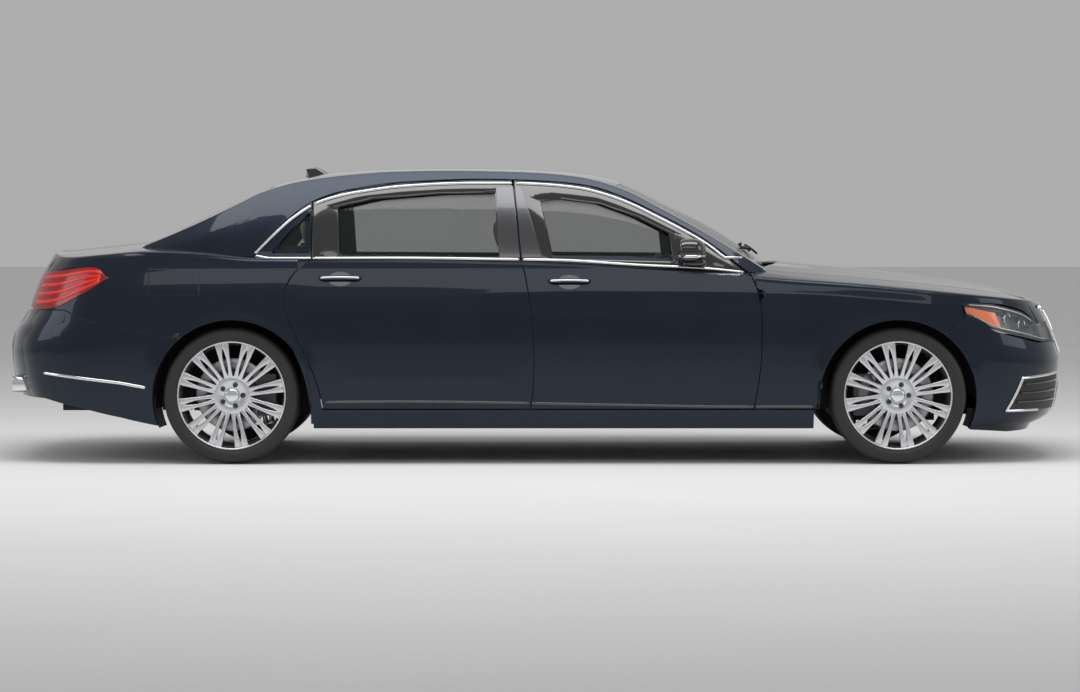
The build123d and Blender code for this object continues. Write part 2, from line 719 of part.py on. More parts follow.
def screen_zone(front, rear):
    """A plan block that holds a roof panel or screen between two bowed edges."""
    reach = WIDTH / 2
    with BuildPart() as zone:
        with BuildSketch(Plane.XY.offset(DRAWN_BELT - 120.0)):
            with BuildLine():
                ThreePointArc((front[1], -reach), (front[0], 0), (front[1], reach))
                ThreePointArc((rear[1], -reach), (rear[0], 0), (rear[1], reach))
                Line((front[1], -reach), (rear[1], -reach))
                Line((front[1], reach), (rear[1], reach))
            make_face()
        extrude(amount=ROOF_HEIGHT)
    return zone.part


SCREEN_TOP = (along(455.0), along(400.0))
SCREEN_BASE = (along(1225.0), along(1010.0))
BACK_TOP = (along(-1395.0), along(-1335.0))
BACK_BASE = (along(-2000.0), along(-1890.0))
SCREEN_GLASS = 6.0

with BuildPart() as roof_panel:
    add(cabin_form(0.0))
    add(cabin_form(28.0), mode=Mode.SUBTRACT)
    add(top_zone(ROOF_EDGE), mode=Mode.INTERSECT)
    add(screen_zone(SCREEN_TOP, BACK_TOP), mode=Mode.INTERSECT)
roof_panel.part.label = "roof_panel"
export_step(roof_panel.part, "parts/roof_panel.step")


def screen(front, rear):
    """A bowed pane set a little below the outer surface, clear of the frame by PANE_GAP."""
    with BuildPart() as pane:
        add(cabin_form(6.0))
        add(cabin_form(6.0 + SCREEN_GLASS), mode=Mode.SUBTRACT)
        add(top_zone(ROOF_EDGE + 0.4), mode=Mode.INTERSECT)
        add(screen_zone(front, rear), mode=Mode.INTERSECT)
        add(lower_form(0.0), mode=Mode.SUBTRACT)
    return pane.part


with BuildPart() as windscreen:
    add(screen(SCREEN_BASE, (SCREEN_TOP[0] + 0.4, SCREEN_TOP[1] + 0.4)))
windscreen.part.label = "windscreen"
export_step(windscreen.part, "parts/windscreen.step")

with BuildPart() as rear_window:
    add(screen((BACK_TOP[0] - 0.4, BACK_TOP[1] - 0.4), BACK_BASE))
rear_window.part.label = "rear_window"
export_step(rear_window.part, "parts/rear_window.step")

with BuildPart() as quarter_windows:
    add(both(panel(place(QUARTER_LIGHT), cabin_form(8.0), cabin_form(8.0 + GLASS))))
quarter_windows.part.label = "quarter_windows"
export_step(quarter_windows.part, "parts/quarter_windows.step")


def bonnet_zone(margin, rear_gap):
    """A plan block inside the bonnet's edges, for the panel or for its opening."""
    back = along(BONNET_EDGE[0][0]) - rear_gap
    edge = [(back, BONNET_EDGE[0][1] + margin)]
    edge += [(along(x), y + margin) for x, y in BONNET_EDGE[1:]]
    nose_y = edge[-1][1]
    with BuildPart() as zone:
        with BuildSketch(Plane.XY.offset(600.0)):
            with BuildLine():
                side = Spline(*edge)
                mirror(side, about=Plane.XZ)
                ThreePointArc((back, edge[0][1]), (back + BONNET_BOW, 0), (back, -edge[0][1]))
                Line((edge[-1][0], nose_y), (LENGTH, nose_y))
                Line((edge[-1][0], -nose_y), (LENGTH, -nose_y))
                Line((LENGTH, nose_y), (LENGTH, -nose_y))
            make_face()
        extrude(amount=600.0)
    return zone.part


BONNET_BOW = 150.0

with BuildPart() as bonnet:
    add(bonnet_zone(0.0, 0.0))
    add(block((0.0, -WIDTH, 100.0), (LENGTH, WIDTH, BONNET_NOSE_Z)), mode=Mode.SUBTRACT)
    add(lower_form(0.0), mode=Mode.INTERSECT)
    add(lower_form(SKIN), mode=Mode.SUBTRACT)
    add(cabin_form(0.0), mode=Mode.SUBTRACT)
bonnet.part.label = "bonnet"
export_step(bonnet.part, "parts/bonnet.step")

wing_outline = place(
    shifted(FRONT_SHUT, SHUT_GAP / 2)
    + [(1084 + SHUT_GAP / 2, BELT_CUT), (2760, BELT_CUT), (2560, 735)]
    + shifted(HEAD_LAMP_TOP, 0, SHUT_GAP)[::-1]
    + [(2155 - SHUT_GAP, 800), (2168 - SHUT_GAP, 724), (2057, 661), (1990, 620), (1400, 300), (1400, 278)]
)
with BuildPart() as wing:
    add(panel(wing_outline, lower_form(0.0), lower_form(SKIN)))
    add(front_arch, mode=Mode.SUBTRACT)
    add(bonnet_zone(SHUT_GAP, SHUT_GAP), mode=Mode.SUBTRACT)
    add(cabin_form(0.0), mode=Mode.SUBTRACT)
    add(block((0.0, -WIDTH, 900.0), (along(1084.0), WIDTH, 1200.0)), mode=Mode.SUBTRACT)
    add(block((0.0, -735.0, 880.0), (along(1290.0), 0.0, 1200.0)), mode=Mode.SUBTRACT)
with BuildPart() as front_wings:
    add(both(wing.part))
front_wings.part.label = "front_wings"
export_step(front_wings.part, "parts/front_wings.step")

COWL_DEPTH = 34.0
COWL_SHEET = 14.0
with BuildPart() as cowl_panel:
    add(block((along(1182.0), -730.0, 850.0), (along(1290.0), 730.0, 1200.0)))
    add(lower_form(COWL_DEPTH), mode=Mode.INTERSECT)
    add(lower_form(COWL_DEPTH + COWL_SHEET), mode=Mode.SUBTRACT)
cowl_panel.part.label = "cowl_panel"
export_step(cowl_panel.part, "parts/cowl_panel.step")

with BuildPart() as lid_inside:
    add(block(
        (-LENGTH, -LID_HALF_WIDTH - 10.0, LID_LOW - 80.0),
        (LID_FRONT + 60.0, LID_HALF_WIDTH + 10.0, 1300.0),
    ))
    add(lower_form(SKIN), mode=Mode.INTERSECT)
with BuildPart() as boot_lid:
    add(block((-LENGTH, -LID_HALF_WIDTH, LID_LOW), (LID_FRONT, LID_HALF_WIDTH, 1300.0)))
    add(lower_form(0.0), mode=Mode.INTERSECT)
    add(lid_inside.part, mode=Mode.SUBTRACT)
boot_lid.part.label = "boot_lid"
export_step(boot_lid.part, "parts/boot_lid.step")


# ---------------------------------------------------------------- bumpers, grille and lamps

NOSE_BACK = 2020.0
front_bumper_outline = place(
    [(NOSE_BACK, 186), (2760, 186), (2760, 600)]
    + shifted(HEAD_LAMP_LOW, 0, -SHUT_GAP)[::-1]
    + [(2155, 790), (2168, 715), (2057, 650), (NOSE_BACK, 630)]
)
with BuildPart() as bumper_half:
    add(panel(front_bumper_outline, lower_form(0.0), lower_form(SKIN), 0.0))
    add(front_arch, mode=Mode.SUBTRACT)
    add(block((along(2300.0), -GRILLE_HALF_WIDTH, GRILLE_LOW), (LENGTH, 0.0, 900.0)), mode=Mode.SUBTRACT)
    add(block((along(2300.0), -340.0, 250.0), (LENGTH, 0.0, 400.0)), mode=Mode.SUBTRACT)
    add(block((along(2300.0), -760.0, 250.0), (LENGTH, -480.0, 380.0)), mode=Mode.SUBTRACT)
with BuildPart() as front_bumper:
    add(both(bumper_half.part))
front_bumper.part.label = "front_bumper"
export_step(front_bumper.part, "parts/front_bumper.step")

with BuildPart() as radiator_grille:
    add(block(
        (along(2300.0), -GRILLE_HALF_WIDTH + SEAT_CLEARANCE, GRILLE_LOW + SEAT_CLEARANCE),
        (LENGTH, GRILLE_HALF_WIDTH - SEAT_CLEARANCE, BONNET_NOSE_Z - SHUT_GAP),
    ))
    add(lower_form(2.0), mode=Mode.INTERSECT)
    add(lower_form(40.0), mode=Mode.SUBTRACT)
radiator_grille.part.label = "radiator_grille"
export_step(radiator_grille.part, "parts/radiator_grille.step")

LAMP_DEPTH = 70.0
def lamp(outline, flange):
    """A right-hand lamp: its lens and body, and a flange behind the panels round it."""
    behind = SKIN + SEAT_CLEARANCE
    with BuildPart() as piece:
        add(panel(outline, lower_form(0.0), lower_form(LAMP_DEPTH)))
        add(panel(flange, lower_form(behind), lower_form(LAMP_DEPTH)))
    return piece.part


with BuildPart() as head_lamp:
    add(lamp(
        place(HEAD_LAMP_TOP + [(2760, 690), (2760, 606)] + HEAD_LAMP_LOW[1:][::-1]),
        place([(2180, 780), (2205, 700), (2330, 620), (2760, 590), (2760, 690), (2500, 740), (2330, 785)]),
    ))
    add(block((0.0, -LAMP_INNER_Y, 0.0), (LENGTH, WIDTH, 1200.0)), mode=Mode.SUBTRACT)
with BuildPart() as headlamps:
    add(both(head_lamp.part))
headlamps.part.label = "headlamps"
export_step(headlamps.part, "parts/headlamps.step")

with BuildPart() as tail_lamp:
    add(lamp(
        place(TAIL_LAMP_TOP + [(-2760, 960), (-2760, 776)] + TAIL_LAMP_LOW[1:][::-1]),
        place([(-2225, 935), (-2300, 965), (-2430, 955), (-2430, 800), (-2300, 820)] ),
    ))
    add(block((-LENGTH, -LID_HALF_WIDTH - SHUT_GAP, 0.0), (LENGTH, WIDTH, 1200.0)), mode=Mode.SUBTRACT)
with BuildPart() as tail_lamps:
    add(both(tail_lamp.part))
tail_lamps.part.label = "tail_lamps"
export_step(tail_lamps.part, "parts/tail_lamps.step")

rear_bumper_outline = place(
    REAR_BUMPER_TOP + [(-2477, 773), (-2760, 771), (-2760, 337)]
    + REAR_BUMPER_LOW[:-1][::-1] + [(-1837, 300)]
)
with BuildPart() as rear_bumper_half:
    add(panel(rear_bumper_outline, side_form(0.0), side_form(SKIN), 0.0))
    add(rear_arch, mode=Mode.SUBTRACT)
    add(block((-LENGTH, -680.0, 346.0), (along(-2300.0), -440.0, 432.0)), mode=Mode.SUBTRACT)
with BuildPart() as rear_bumper:
    add(both(rear_bumper_half.part))
rear_bumper.part.label = "rear_bumper"
export_step(rear_bumper.part, "parts/rear_bumper.step")


# ---------------------------------------------------------------- wheels and tyres


def tyre_solid(axle_x, track, width):
    """A hollow tyre: tread, two side walls and two beads, turned about its axle."""
    centre_y = -track / 2
    bead = RIM_RADIUS - RIM_LIP
    half = width / 2
    seat_z = TYRE_RADIUS + RIM_RADIUS + 1.0
    with BuildPart() as tyre:
        with BuildSketch(Plane.YZ.offset(axle_x)):
            with BuildLine():
                Line((centre_y - half * 0.86, TYRE_RADIUS + bead), (centre_y - half * 0.86, seat_z))
                Spline(
                    (centre_y - half * 0.86, seat_z),
                    (centre_y - half, TYRE_RADIUS + bead + 42.0),
                    (centre_y - half * 0.9, 2 * TYRE_RADIUS - 14.0),
                )
                ThreePointArc(
                    (centre_y - half * 0.9, 2 * TYRE_RADIUS - 14.0),
                    (centre_y, 2 * TYRE_RADIUS),
                    (centre_y + half * 0.9, 2 * TYRE_RADIUS - 14.0),
                )
                Spline(
                    (centre_y + half * 0.9, 2 * TYRE_RADIUS - 14.0),
                    (centre_y + half, TYRE_RADIUS + bead + 42.0),
                    (centre_y + half * 0.86, seat_z),
                )
                Line((centre_y + half * 0.86, seat_z), (centre_y + half * 0.86, TYRE_RADIUS + bead))
                Polyline(
                    (centre_y + half * 0.86, TYRE_RADIUS + bead),
                    (centre_y + half * 0.86 - TYRE_WALL, TYRE_RADIUS + bead),
                    (centre_y + half - 1.2 * TYRE_WALL, TYRE_RADIUS + bead + 40.0),
                    (centre_y + half * 0.84, 2 * TYRE_RADIUS - 14.0 - TYRE_WALL),
                    (centre_y - half * 0.84, 2 * TYRE_RADIUS - 14.0 - TYRE_WALL),
                    (centre_y - half + 1.2 * TYRE_WALL, TYRE_RADIUS + bead + 40.0),
                    (centre_y - half * 0.86 + TYRE_WALL, TYRE_RADIUS + bead),
                    (centre_y - half * 0.86, TYRE_RADIUS + bead),
                )
            make_face()
        revolve(axis=Axis((axle_x, 0, TYRE_RADIUS), (0, 1, 0)))
    return tyre.part


def wheel_solid(axle_x, track, width):
    """A wheel: rim barrel with two lips, paired spokes, hub with its bore, and brake disc."""
    centre_y = -track / 2
    half = width * 0.43
    bead = RIM_RADIUS - RIM_LIP
    outer_y = centre_y - half
    hub_y = outer_y + 26.0
    axis = Axis((axle_x, 0, TYRE_RADIUS), (0, 1, 0))
    with BuildPart() as wheel:
        with BuildSketch(Plane.YZ.offset(axle_x)):
            with BuildLine():
                Polyline(
                    (outer_y - 7.0, TYRE_RADIUS + RIM_RADIUS),
                    (outer_y, TYRE_RADIUS + RIM_RADIUS),
                    (outer_y, TYRE_RADIUS + bead),
                    (centre_y + half, TYRE_RADIUS + bead),
                    (centre_y + half, TYRE_RADIUS + RIM_RADIUS),
                    (centre_y + half + 7.0, TYRE_RADIUS + RIM_RADIUS),
                    (centre_y + half + 7.0, TYRE_RADIUS + bead - RIM_WALL),
                    (outer_y - 7.0, TYRE_RADIUS + bead - RIM_WALL),
                    close=True,
                )
            make_face()
        revolve(axis=axis)
        with BuildSketch(Plane.XZ.offset(-hub_y)):
            with Locations((axle_x, TYRE_RADIUS)):
                Circle(HUB_RADIUS)
        extrude(amount=-(DISC_Y_GAP + DISC_THICKNESS))
        with BuildSketch(Plane.XZ.offset(-(hub_y + DISC_Y_GAP))):
            with Locations((axle_x, TYRE_RADIUS)):
                Circle(DISC_RADIUS)
        extrude(amount=-DISC_THICKNESS)
        with BuildSketch(Plane.XZ.offset(-hub_y)):
            with Locations((axle_x, TYRE_RADIUS)):
                with PolarLocations(0.0, SPOKE_COUNT, start_angle=7.5):
                    with Locations((HUB_RADIUS / 2 + bead / 2, 0)):
                        Rectangle(bead - HUB_RADIUS + 6.0, SPOKE_WIDTH)
        extrude(amount=-SPOKE_DEPTH)
        with BuildSketch(Plane.XZ.offset(-(hub_y + DISC_Y_GAP + DISC_THICKNESS))):
            with Locations((axle_x, TYRE_RADIUS)):
                Circle(SPINDLE_RADIUS + SPINDLE_PLAY)
        extrude(amount=SPINDLE_LENGTH + 2.0, mode=Mode.SUBTRACT)
    return wheel.part


DISC_Y_GAP = 62.0
SPINDLE_LENGTH = 60.0
KNUCKLE_GAP = 0.5
UPRIGHT_OFFSET = 14.0
UPRIGHT_THICKNESS = 30.0


def hub_face(track, width):
    """The plane of a right wheel's inner hub face."""
    return -track / 2 - width * 0.43 + 26.0 + DISC_Y_GAP + DISC_THICKNESS


def knuckle_solid(axle_x, track, width, side):
    """A right-hand upright: spindle, bearing carrier, arms and the brake caliper."""
    face = hub_face(track, width)
    disc_outer = face - DISC_THICKNESS
    with BuildPart() as knuckle:
        with BuildSketch(Plane.XZ.offset(-(face + KNUCKLE_GAP))):
            with Locations((axle_x, TYRE_RADIUS)):
                Circle(62.0)
        extrude(amount=-46.0)
        with BuildSketch(Plane.XZ.offset(-(face + KNUCKLE_GAP))):
            with Locations((axle_x, TYRE_RADIUS)):
                Circle(SPINDLE_RADIUS)
        extrude(amount=SPINDLE_LENGTH)
        with BuildSketch(Plane.XZ.offset(-(face + UPRIGHT_OFFSET))):
            with Locations((axle_x, TYRE_RADIUS)):
                Rectangle(70.0, 2 * ARM_DROP)
            with Locations((axle_x + side * 130.0, TYRE_RADIUS)):
                Rectangle(190.0, 90.0)
        extrude(amount=-UPRIGHT_THICKNESS)
        with BuildSketch(Plane.XZ.offset(-(disc_outer - 26.0))):
            with Locations((axle_x + side * 172.0, TYRE_RADIUS)):
                Rectangle(96.0, 210.0)
        extrude(amount=-(DISC_THICKNESS + 26.0 + 44.0))
        with BuildSketch(Plane.XZ.offset(-(disc_outer - 4.0))):
            with Locations((axle_x, TYRE_RADIUS)):
                Circle(DISC_RADIUS + 5.0)
        extrude(amount=-(DISC_THICKNESS + 4.0 + KNUCKLE_GAP), mode=Mode.SUBTRACT)
        with BuildSketch(Plane.XZ.offset(-(disc_outer - 80.0))):
            with Locations((axle_x, TYRE_RADIUS)):
                Circle(RIM_RADIUS)
                Circle(RIM_RADIUS - RIM_LIP - RIM_WALL - 6.0, mode=Mode.SUBTRACT)
        extrude(amount=-200.0, mode=Mode.SUBTRACT)
        with BuildSketch(Plane.XZ.offset(-(face + KNUCKLE_GAP))):
            with Locations((axle_x, TYRE_RADIUS)):
                Circle(SPINDLE_RADIUS)
        extrude(amount=SPINDLE_LENGTH)
    return knuckle.part


ARM_DROP = 150.0

for place_name, axle_x, track, width, side in (
    ("front", FRONT_AXLE_X, FRONT_TRACK, FRONT_TYRE_WIDTH, -1),
    ("rear", REAR_AXLE_X, REAR_TRACK, REAR_TYRE_WIDTH, 1),
):
    with BuildPart() as tyre_right:
        add(tyre_solid(axle_x, track, width))
    tyre_right.part.label = f"tyre_{place_name}_right"
    export_step(tyre_right.part, f"parts/tyre_{place_name}_right.step")
    with BuildPart() as tyre_left:
        add(mirrored(tyre_right.part))
    tyre_left.part.label = f"tyre_{place_name}_left"
    export_step(tyre_left.part, f"parts/tyre_{place_name}_left.step")
    with BuildPart() as wheel_right:
        add(wheel_solid(axle_x, track, width))
    wheel_right.part.label = f"wheel_{place_name}_right"
    export_step(wheel_right.part, f"parts/wheel_{place_name}_right.step")
    with BuildPart() as wheel_left:
        add(mirrored(wheel_right.part))
    wheel_left.part.label = f"wheel_{place_name}_left"
    export_step(wheel_left.part, f"parts/wheel_{place_name}_left.step")

with BuildPart() as knuckle_front_right:
    add(knuckle_solid(FRONT_AXLE_X, FRONT_TRACK, FRONT_TYRE_WIDTH, -1))
knuckle_front_right.part.label = "knuckle_front_right"
export_step(knuckle_front_right.part, "parts/knuckle_front_right.step")

with BuildPart() as knuckle_front_left:
    add(mirrored(knuckle_front_right.part))
knuckle_front_left.part.label = "knuckle_front_left"
export_step(knuckle_front_left.part, "parts/knuckle_front_left.step")

with BuildPart() as rear_knuckles:
    add(both(knuckle_solid(REAR_AXLE_X, REAR_TRACK, REAR_TYRE_WIDTH, 1)))
rear_knuckles.part.label = "rear_knuckles"
export_step(rear_knuckles.part, "parts/rear_knuckles.step")


# ---------------------------------------------------------------- floor, liners and running gear

CABIN_HALF = WIDTH / 2 - PILLAR_INNER + 6.0
LINER_INNER_Y = 470.0
TUNNEL_HALF = 130.0
TUNNEL_TOP = 340.0
SHEET = 20.0
BULKHEAD_X = along(1180.0)
HEELBOARD_X = along(-1045.0)
BOOT_FLOOR_Z = 425.0
BOOT_END_X = along(-2470.0)
SHELF_Z = 1030.0
FRAME_RAIL_Y = 380.0

with BuildPart() as bulkhead:
    add(block((BULKHEAD_X, -CABIN_HALF, FLOOR_Z), (BULKHEAD_X + SHEET, CABIN_HALF, 1100.0)))
    add(lower_form(COWL_DEPTH + COWL_SHEET), mode=Mode.INTERSECT)

with BuildPart() as floor_pan:
    add(block(
        (HEELBOARD_X, -CABIN_HALF, FLOOR_Z), (BULKHEAD_X + SHEET, CABIN_HALF, FLOOR_Z + FLOOR_THICKNESS),
    ))
    add(block((HEELBOARD_X, -TUNNEL_HALF, FLOOR_Z), (BULKHEAD_X, TUNNEL_HALF, TUNNEL_TOP)))
    add(block(
        (HEELBOARD_X - 1.0, -TUNNEL_HALF + SHEET, FLOOR_Z - 1.0),
        (BULKHEAD_X + 1.0, TUNNEL_HALF - SHEET, TUNNEL_TOP - SHEET),
    ), mode=Mode.SUBTRACT)
    add(bulkhead.part)
    add(block((HEELBOARD_X - SHEET, -CABIN_HALF, FLOOR_Z), (HEELBOARD_X, CABIN_HALF, BOOT_FLOOR_Z + SHEET)))
    add(block(
        (BOOT_END_X, -LINER_INNER_Y, BOOT_FLOOR_Z), (HEELBOARD_X, LINER_INNER_Y, BOOT_FLOOR_Z + SHEET),
    ))
    add(block((BOOT_END_X - SHEET, -560.0, BOOT_FLOOR_Z + 4.0), (BOOT_END_X, 560.0, 760.0)))
    for side in (-1, 1):
        add(block(
            (BULKHEAD_X, side * FRAME_RAIL_Y - 30.0, 440.0),
            (along(2560.0), side * FRAME_RAIL_Y + 30.0, 560.0),
        ))
        add(block(
            (BOOT_END_X, side * 520.0 - 52.0, BOOT_FLOOR_Z),
            (along(-1960.0), side * 520.0 + 160.0, BOOT_FLOOR_Z + SHEET),
        ))
    add(block((along(2480.0), -560.0, 420.0), (along(2540.0), 560.0, 560.0)))
    add(side_form(PILLAR_INNER), mode=Mode.INTERSECT)
floor_pan.part.label = "floor_pan"
export_step(floor_pan.part, "parts/floor_pan.step")


with BuildPart() as parcel_shelf:
    add(block((along(-1930.0), -700.0, SHELF_Z - SHEET), (along(-1300.0), 700.0, SHELF_Z)))
    add(cabin_form(RAIL_DEPTH), mode=Mode.INTERSECT)
parcel_shelf.part.label = "parcel_shelf"
export_step(parcel_shelf.part, "parts/parcel_shelf.step")


def liner(axle_x, low, inner_form, bottom):
    """A right-hand wheel-arch liner: a bent sheet round the wheel, out to the panel's inside."""
    with BuildPart() as shell:
        add(arch(axle_x, ARCH_RADIUS + LINER_WALL + 4.0, low, WIDTH / 2))
        add(arch(axle_x, ARCH_RADIUS + 4.0, 0.0, WIDTH), mode=Mode.SUBTRACT)
        add(block((-LENGTH, -WIDTH, -10.0), (LENGTH, WIDTH, bottom)), mode=Mode.SUBTRACT)
        add(inner_form, mode=Mode.INTERSECT)
    return shell.part


with BuildPart() as liner_half:
    add(liner(FRONT_AXLE_X, LINER_INNER_Y, side_form(SKIN), 330.0))
    add(liner(REAR_AXLE_X, LINER_INNER_Y, side_form(SKIN), 330.0))
with BuildPart() as arch_liners:
    add(both(liner_half.part))
arch_liners.part.label = "arch_liners"
export_step(arch_liners.part, "parts/arch_liners.step")

ARM_TOP = TYRE_RADIUS - ARM_DROP - SEAT_CLEARANCE
ARM_THICKNESS = 26.0
REAR_UPRIGHT_Y = -(hub_face(REAR_TRACK, REAR_TYRE_WIDTH) + UPRIGHT_OFFSET + UPRIGHT_THICKNESS)
with BuildPart() as front_subframe:
    add(block((FRONT_AXLE_X - 260.0, -400.0, ARM_TOP - 5.0), (FRONT_AXLE_X + 240.0, 400.0, 262.0)))
    for side in (-1, 1):
        add(block(
            (FRONT_AXLE_X - 34.0, min(side * 300.0, side * (KINGPIN_Y + 36.0)), ARM_TOP - ARM_THICKNESS),
            (FRONT_AXLE_X + 34.0, max(side * 300.0, side * (KINGPIN_Y + 36.0)), ARM_TOP),
        ))
        for start in (FRONT_AXLE_X + 150.0, FRONT_AXLE_X - 250.0):
            add(block((start, side * 355.0 - 45.0, 262.0), (start + 80.0, side * 355.0 + 45.0, 440.0)))
front_subframe.part.label = "front_subframe"
export_step(front_subframe.part, "parts/front_subframe.step")

with BuildPart() as rear_subframe:
    add(block((REAR_AXLE_X - 240.0, -400.0, 240.0), (REAR_AXLE_X + 240.0, 400.0, 300.0)))
    add(block((REAR_AXLE_X - 120.0, -150.0, 230.0), (REAR_AXLE_X + 160.0, 150.0, BOOT_FLOOR_Z)))
    add(block((REAR_AXLE_X - 30.0, -REAR_UPRIGHT_Y, 215.0), (REAR_AXLE_X + 30.0, REAR_UPRIGHT_Y, 260.0)))
rear_subframe.part.label = "rear_subframe"
export_step(rear_subframe.part, "parts/rear_subframe.step")

with BuildPart() as engine:
    add(block((along(1330.0), -240.0, 262.0), (along(2060.0), 240.0, 780.0)))
engine.part.label = "engine"
export_step(engine.part, "parts/engine.step")

with BuildPart() as exhaust_system:
    add(block((along(-2440.0), -560.0, 250.0), (along(-1960.0), 560.0, BOOT_FLOOR_Z)))
    for side in (-1, 1):
        add(block(
            (-LENGTH / 2 + 50.0, side * 560.0 - 90.0, 352.0),
            (along(-2440.0), side * 560.0 + 90.0, BOOT_FLOOR_Z),
        ))
exhaust_system.part.label = "exhaust_system"
export_step(exhaust_system.part, "parts/exhaust_system.step")


# ---------------------------------------------------------------- cabin

SEAT_Y = 380.0
WHEEL_CENTRE = (along(585.0), 380.0, 880.0)
WHEEL_RADIUS = 188.0
WHEEL_TILT = 25.0

with BuildPart() as dashboard:
    with BuildSketch(Plane.XZ.offset(-CABIN_HALF + 2.0)):
        with BuildLine():
            Polyline(*place([
                (1178, 700), (1178, 870), (1120, 935), (980, 975),
                (760, 975), (720, 940), (760, 700), (880, 640),
            ]), close=True)
        make_face()
    extrude(amount=2 * CABIN_HALF - 4.0)
    add(side_form(PILLAR_INNER), mode=Mode.INTERSECT)
    add(both(cabin_side.part), mode=Mode.SUBTRACT)
dashboard.part.label = "dashboard"
export_step(dashboard.part, "parts/dashboard.step")

with BuildPart() as centre_console:
    add(block((along(-420.0), -TUNNEL_HALF, TUNNEL_TOP), (along(740.0), TUNNEL_HALF, 600.0)))
    add(block((along(740.0), -TUNNEL_HALF, TUNNEL_TOP), (along(1000.0), TUNNEL_HALF, 640.0)))
centre_console.part.label = "centre_console"
export_step(centre_console.part, "parts/centre_console.step")


def seat(front, back_foot, back_top, floor, height, half, headrest):
    """A seat on its base: a cushion, a leaning back and a head restraint, in one form."""
    with BuildPart() as form:
        with BuildSketch(Plane.XZ.offset(-half)):
            with BuildLine():
                Polyline(*place([
                    (front, floor), (front, height - 20), (front - 40, height),
                    (back_foot + 90, height - 40), (back_top + 70, 1060), (back_top - 40, 1060),
                    (back_foot - 60, 420), (back_foot - 40, floor),
                ]), close=True)
            make_face()
        extrude(amount=2 * half)
        with BuildSketch(Plane.XZ.offset(-130.0)):
            with BuildLine():
                Polyline(*place([
                    (back_top + 60, 1060), (back_top - 30, 1060),
                    (back_top - 70, headrest), (back_top + 30, headrest),
                ]), close=True)
            make_face()
        extrude(amount=260.0)
    return form.part


front_seat = seat(520.0, -20.0, -190.0, FLOOR_Z + FLOOR_THICKNESS, 500.0, 235.0, 1240.0)
rear_seat = seat(-480.0, -960.0, -1190.0, FLOOR_Z + FLOOR_THICKNESS, 520.0, 245.0, 1225.0)

with BuildPart() as front_seats:
    with Locations((0, SEAT_Y, 0), (0, -SEAT_Y, 0)):
        add(front_seat)
front_seats.part.label = "front_seats"
export_step(front_seats.part, "parts/front_seats.step")

with BuildPart() as rear_seats:
    with Locations((0, SEAT_Y, 0), (0, -SEAT_Y, 0)):
        add(rear_seat)
rear_seats.part.label = "rear_seats"
export_step(rear_seats.part, "parts/rear_seats.step")

tilt = math.radians(WHEEL_TILT)
wheel_plane = Plane(origin=WHEEL_CENTRE, z_dir=(-math.cos(tilt), 0, math.sin(tilt)))
with BuildPart() as steering_wheel:
    with BuildSketch(wheel_plane):
        Circle(WHEEL_RADIUS)
        Circle(WHEEL_RADIUS - 30.0, mode=Mode.SUBTRACT)
        Circle(70.0)
        with PolarLocations(WHEEL_RADIUS / 2, 3, start_angle=90.0):
            Rectangle(WHEEL_RADIUS - 20.0, 40.0)
    extrude(amount=12.0, both=True)
    with BuildSketch(wheel_plane.offset(-12.0)):
        Circle(30.0)
    extrude(amount=-40.0)
steering_wheel.part.label = "steering_wheel"
export_step(steering_wheel.part, "parts/steering_wheel.step")

with BuildPart() as steering_column:
    with BuildSketch(wheel_plane.offset(-52.3)):
        Circle(46.0)
    extrude(amount=-120.0)
    add(dashboard.part, mode=Mode.SUBTRACT)
steering_column.part.label = "steering_column"
export_step(steering_column.part, "parts/steering_column.step")
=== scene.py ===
# %% [markdown]
# # A long luxury sedan
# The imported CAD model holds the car's structure, doors, wheels and joints. This script adds
# the finish: smooth body panels, bright trim, lamps, wheels, tyres and a furnished cabin.
# Everything is in metres: X forward, Y to the car's left, Z up, with the ground at zero.

# %% Load the frame
import bmesh
import bpy
import numpy as np
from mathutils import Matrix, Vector


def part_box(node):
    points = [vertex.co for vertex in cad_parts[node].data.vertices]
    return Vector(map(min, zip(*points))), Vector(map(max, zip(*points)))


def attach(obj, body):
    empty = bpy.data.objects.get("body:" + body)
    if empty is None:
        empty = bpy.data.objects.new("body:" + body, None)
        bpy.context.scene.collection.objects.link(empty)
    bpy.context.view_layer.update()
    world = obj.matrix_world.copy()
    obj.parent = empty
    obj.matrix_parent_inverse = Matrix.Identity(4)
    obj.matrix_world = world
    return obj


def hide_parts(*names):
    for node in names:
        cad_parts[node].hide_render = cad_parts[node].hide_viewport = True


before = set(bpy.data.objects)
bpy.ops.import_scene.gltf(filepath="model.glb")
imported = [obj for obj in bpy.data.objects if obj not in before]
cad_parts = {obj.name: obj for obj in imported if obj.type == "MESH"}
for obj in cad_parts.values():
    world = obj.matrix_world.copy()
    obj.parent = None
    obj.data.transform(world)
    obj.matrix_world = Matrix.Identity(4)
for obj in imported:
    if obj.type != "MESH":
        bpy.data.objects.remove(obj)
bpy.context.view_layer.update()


def middle_of(node, axis):
    """The middle of a CAD node's box along one axis, to a tenth of a millimetre."""
    low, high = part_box(node)
    return round(float(low[axis] + high[axis]) / 2, 4)


HALF_WIDTH = 0.9495
HALF_LENGTH = 2.730
FRONT_AXLE = middle_of("wheel_front_left", 0)
REAR_AXLE = middle_of("wheel_rear_left", 0)
AXLE_Z = middle_of("wheel_front_left", 2)
print("axles", FRONT_AXLE, REAR_AXLE, "at", AXLE_Z)

# %% [markdown]
# ## Shader maths
# A material is easier to read as a formula than as a list of nodes. `Wire` wraps one output
# socket and turns arithmetic into Math nodes, and `Finish` makes any other node in one line.

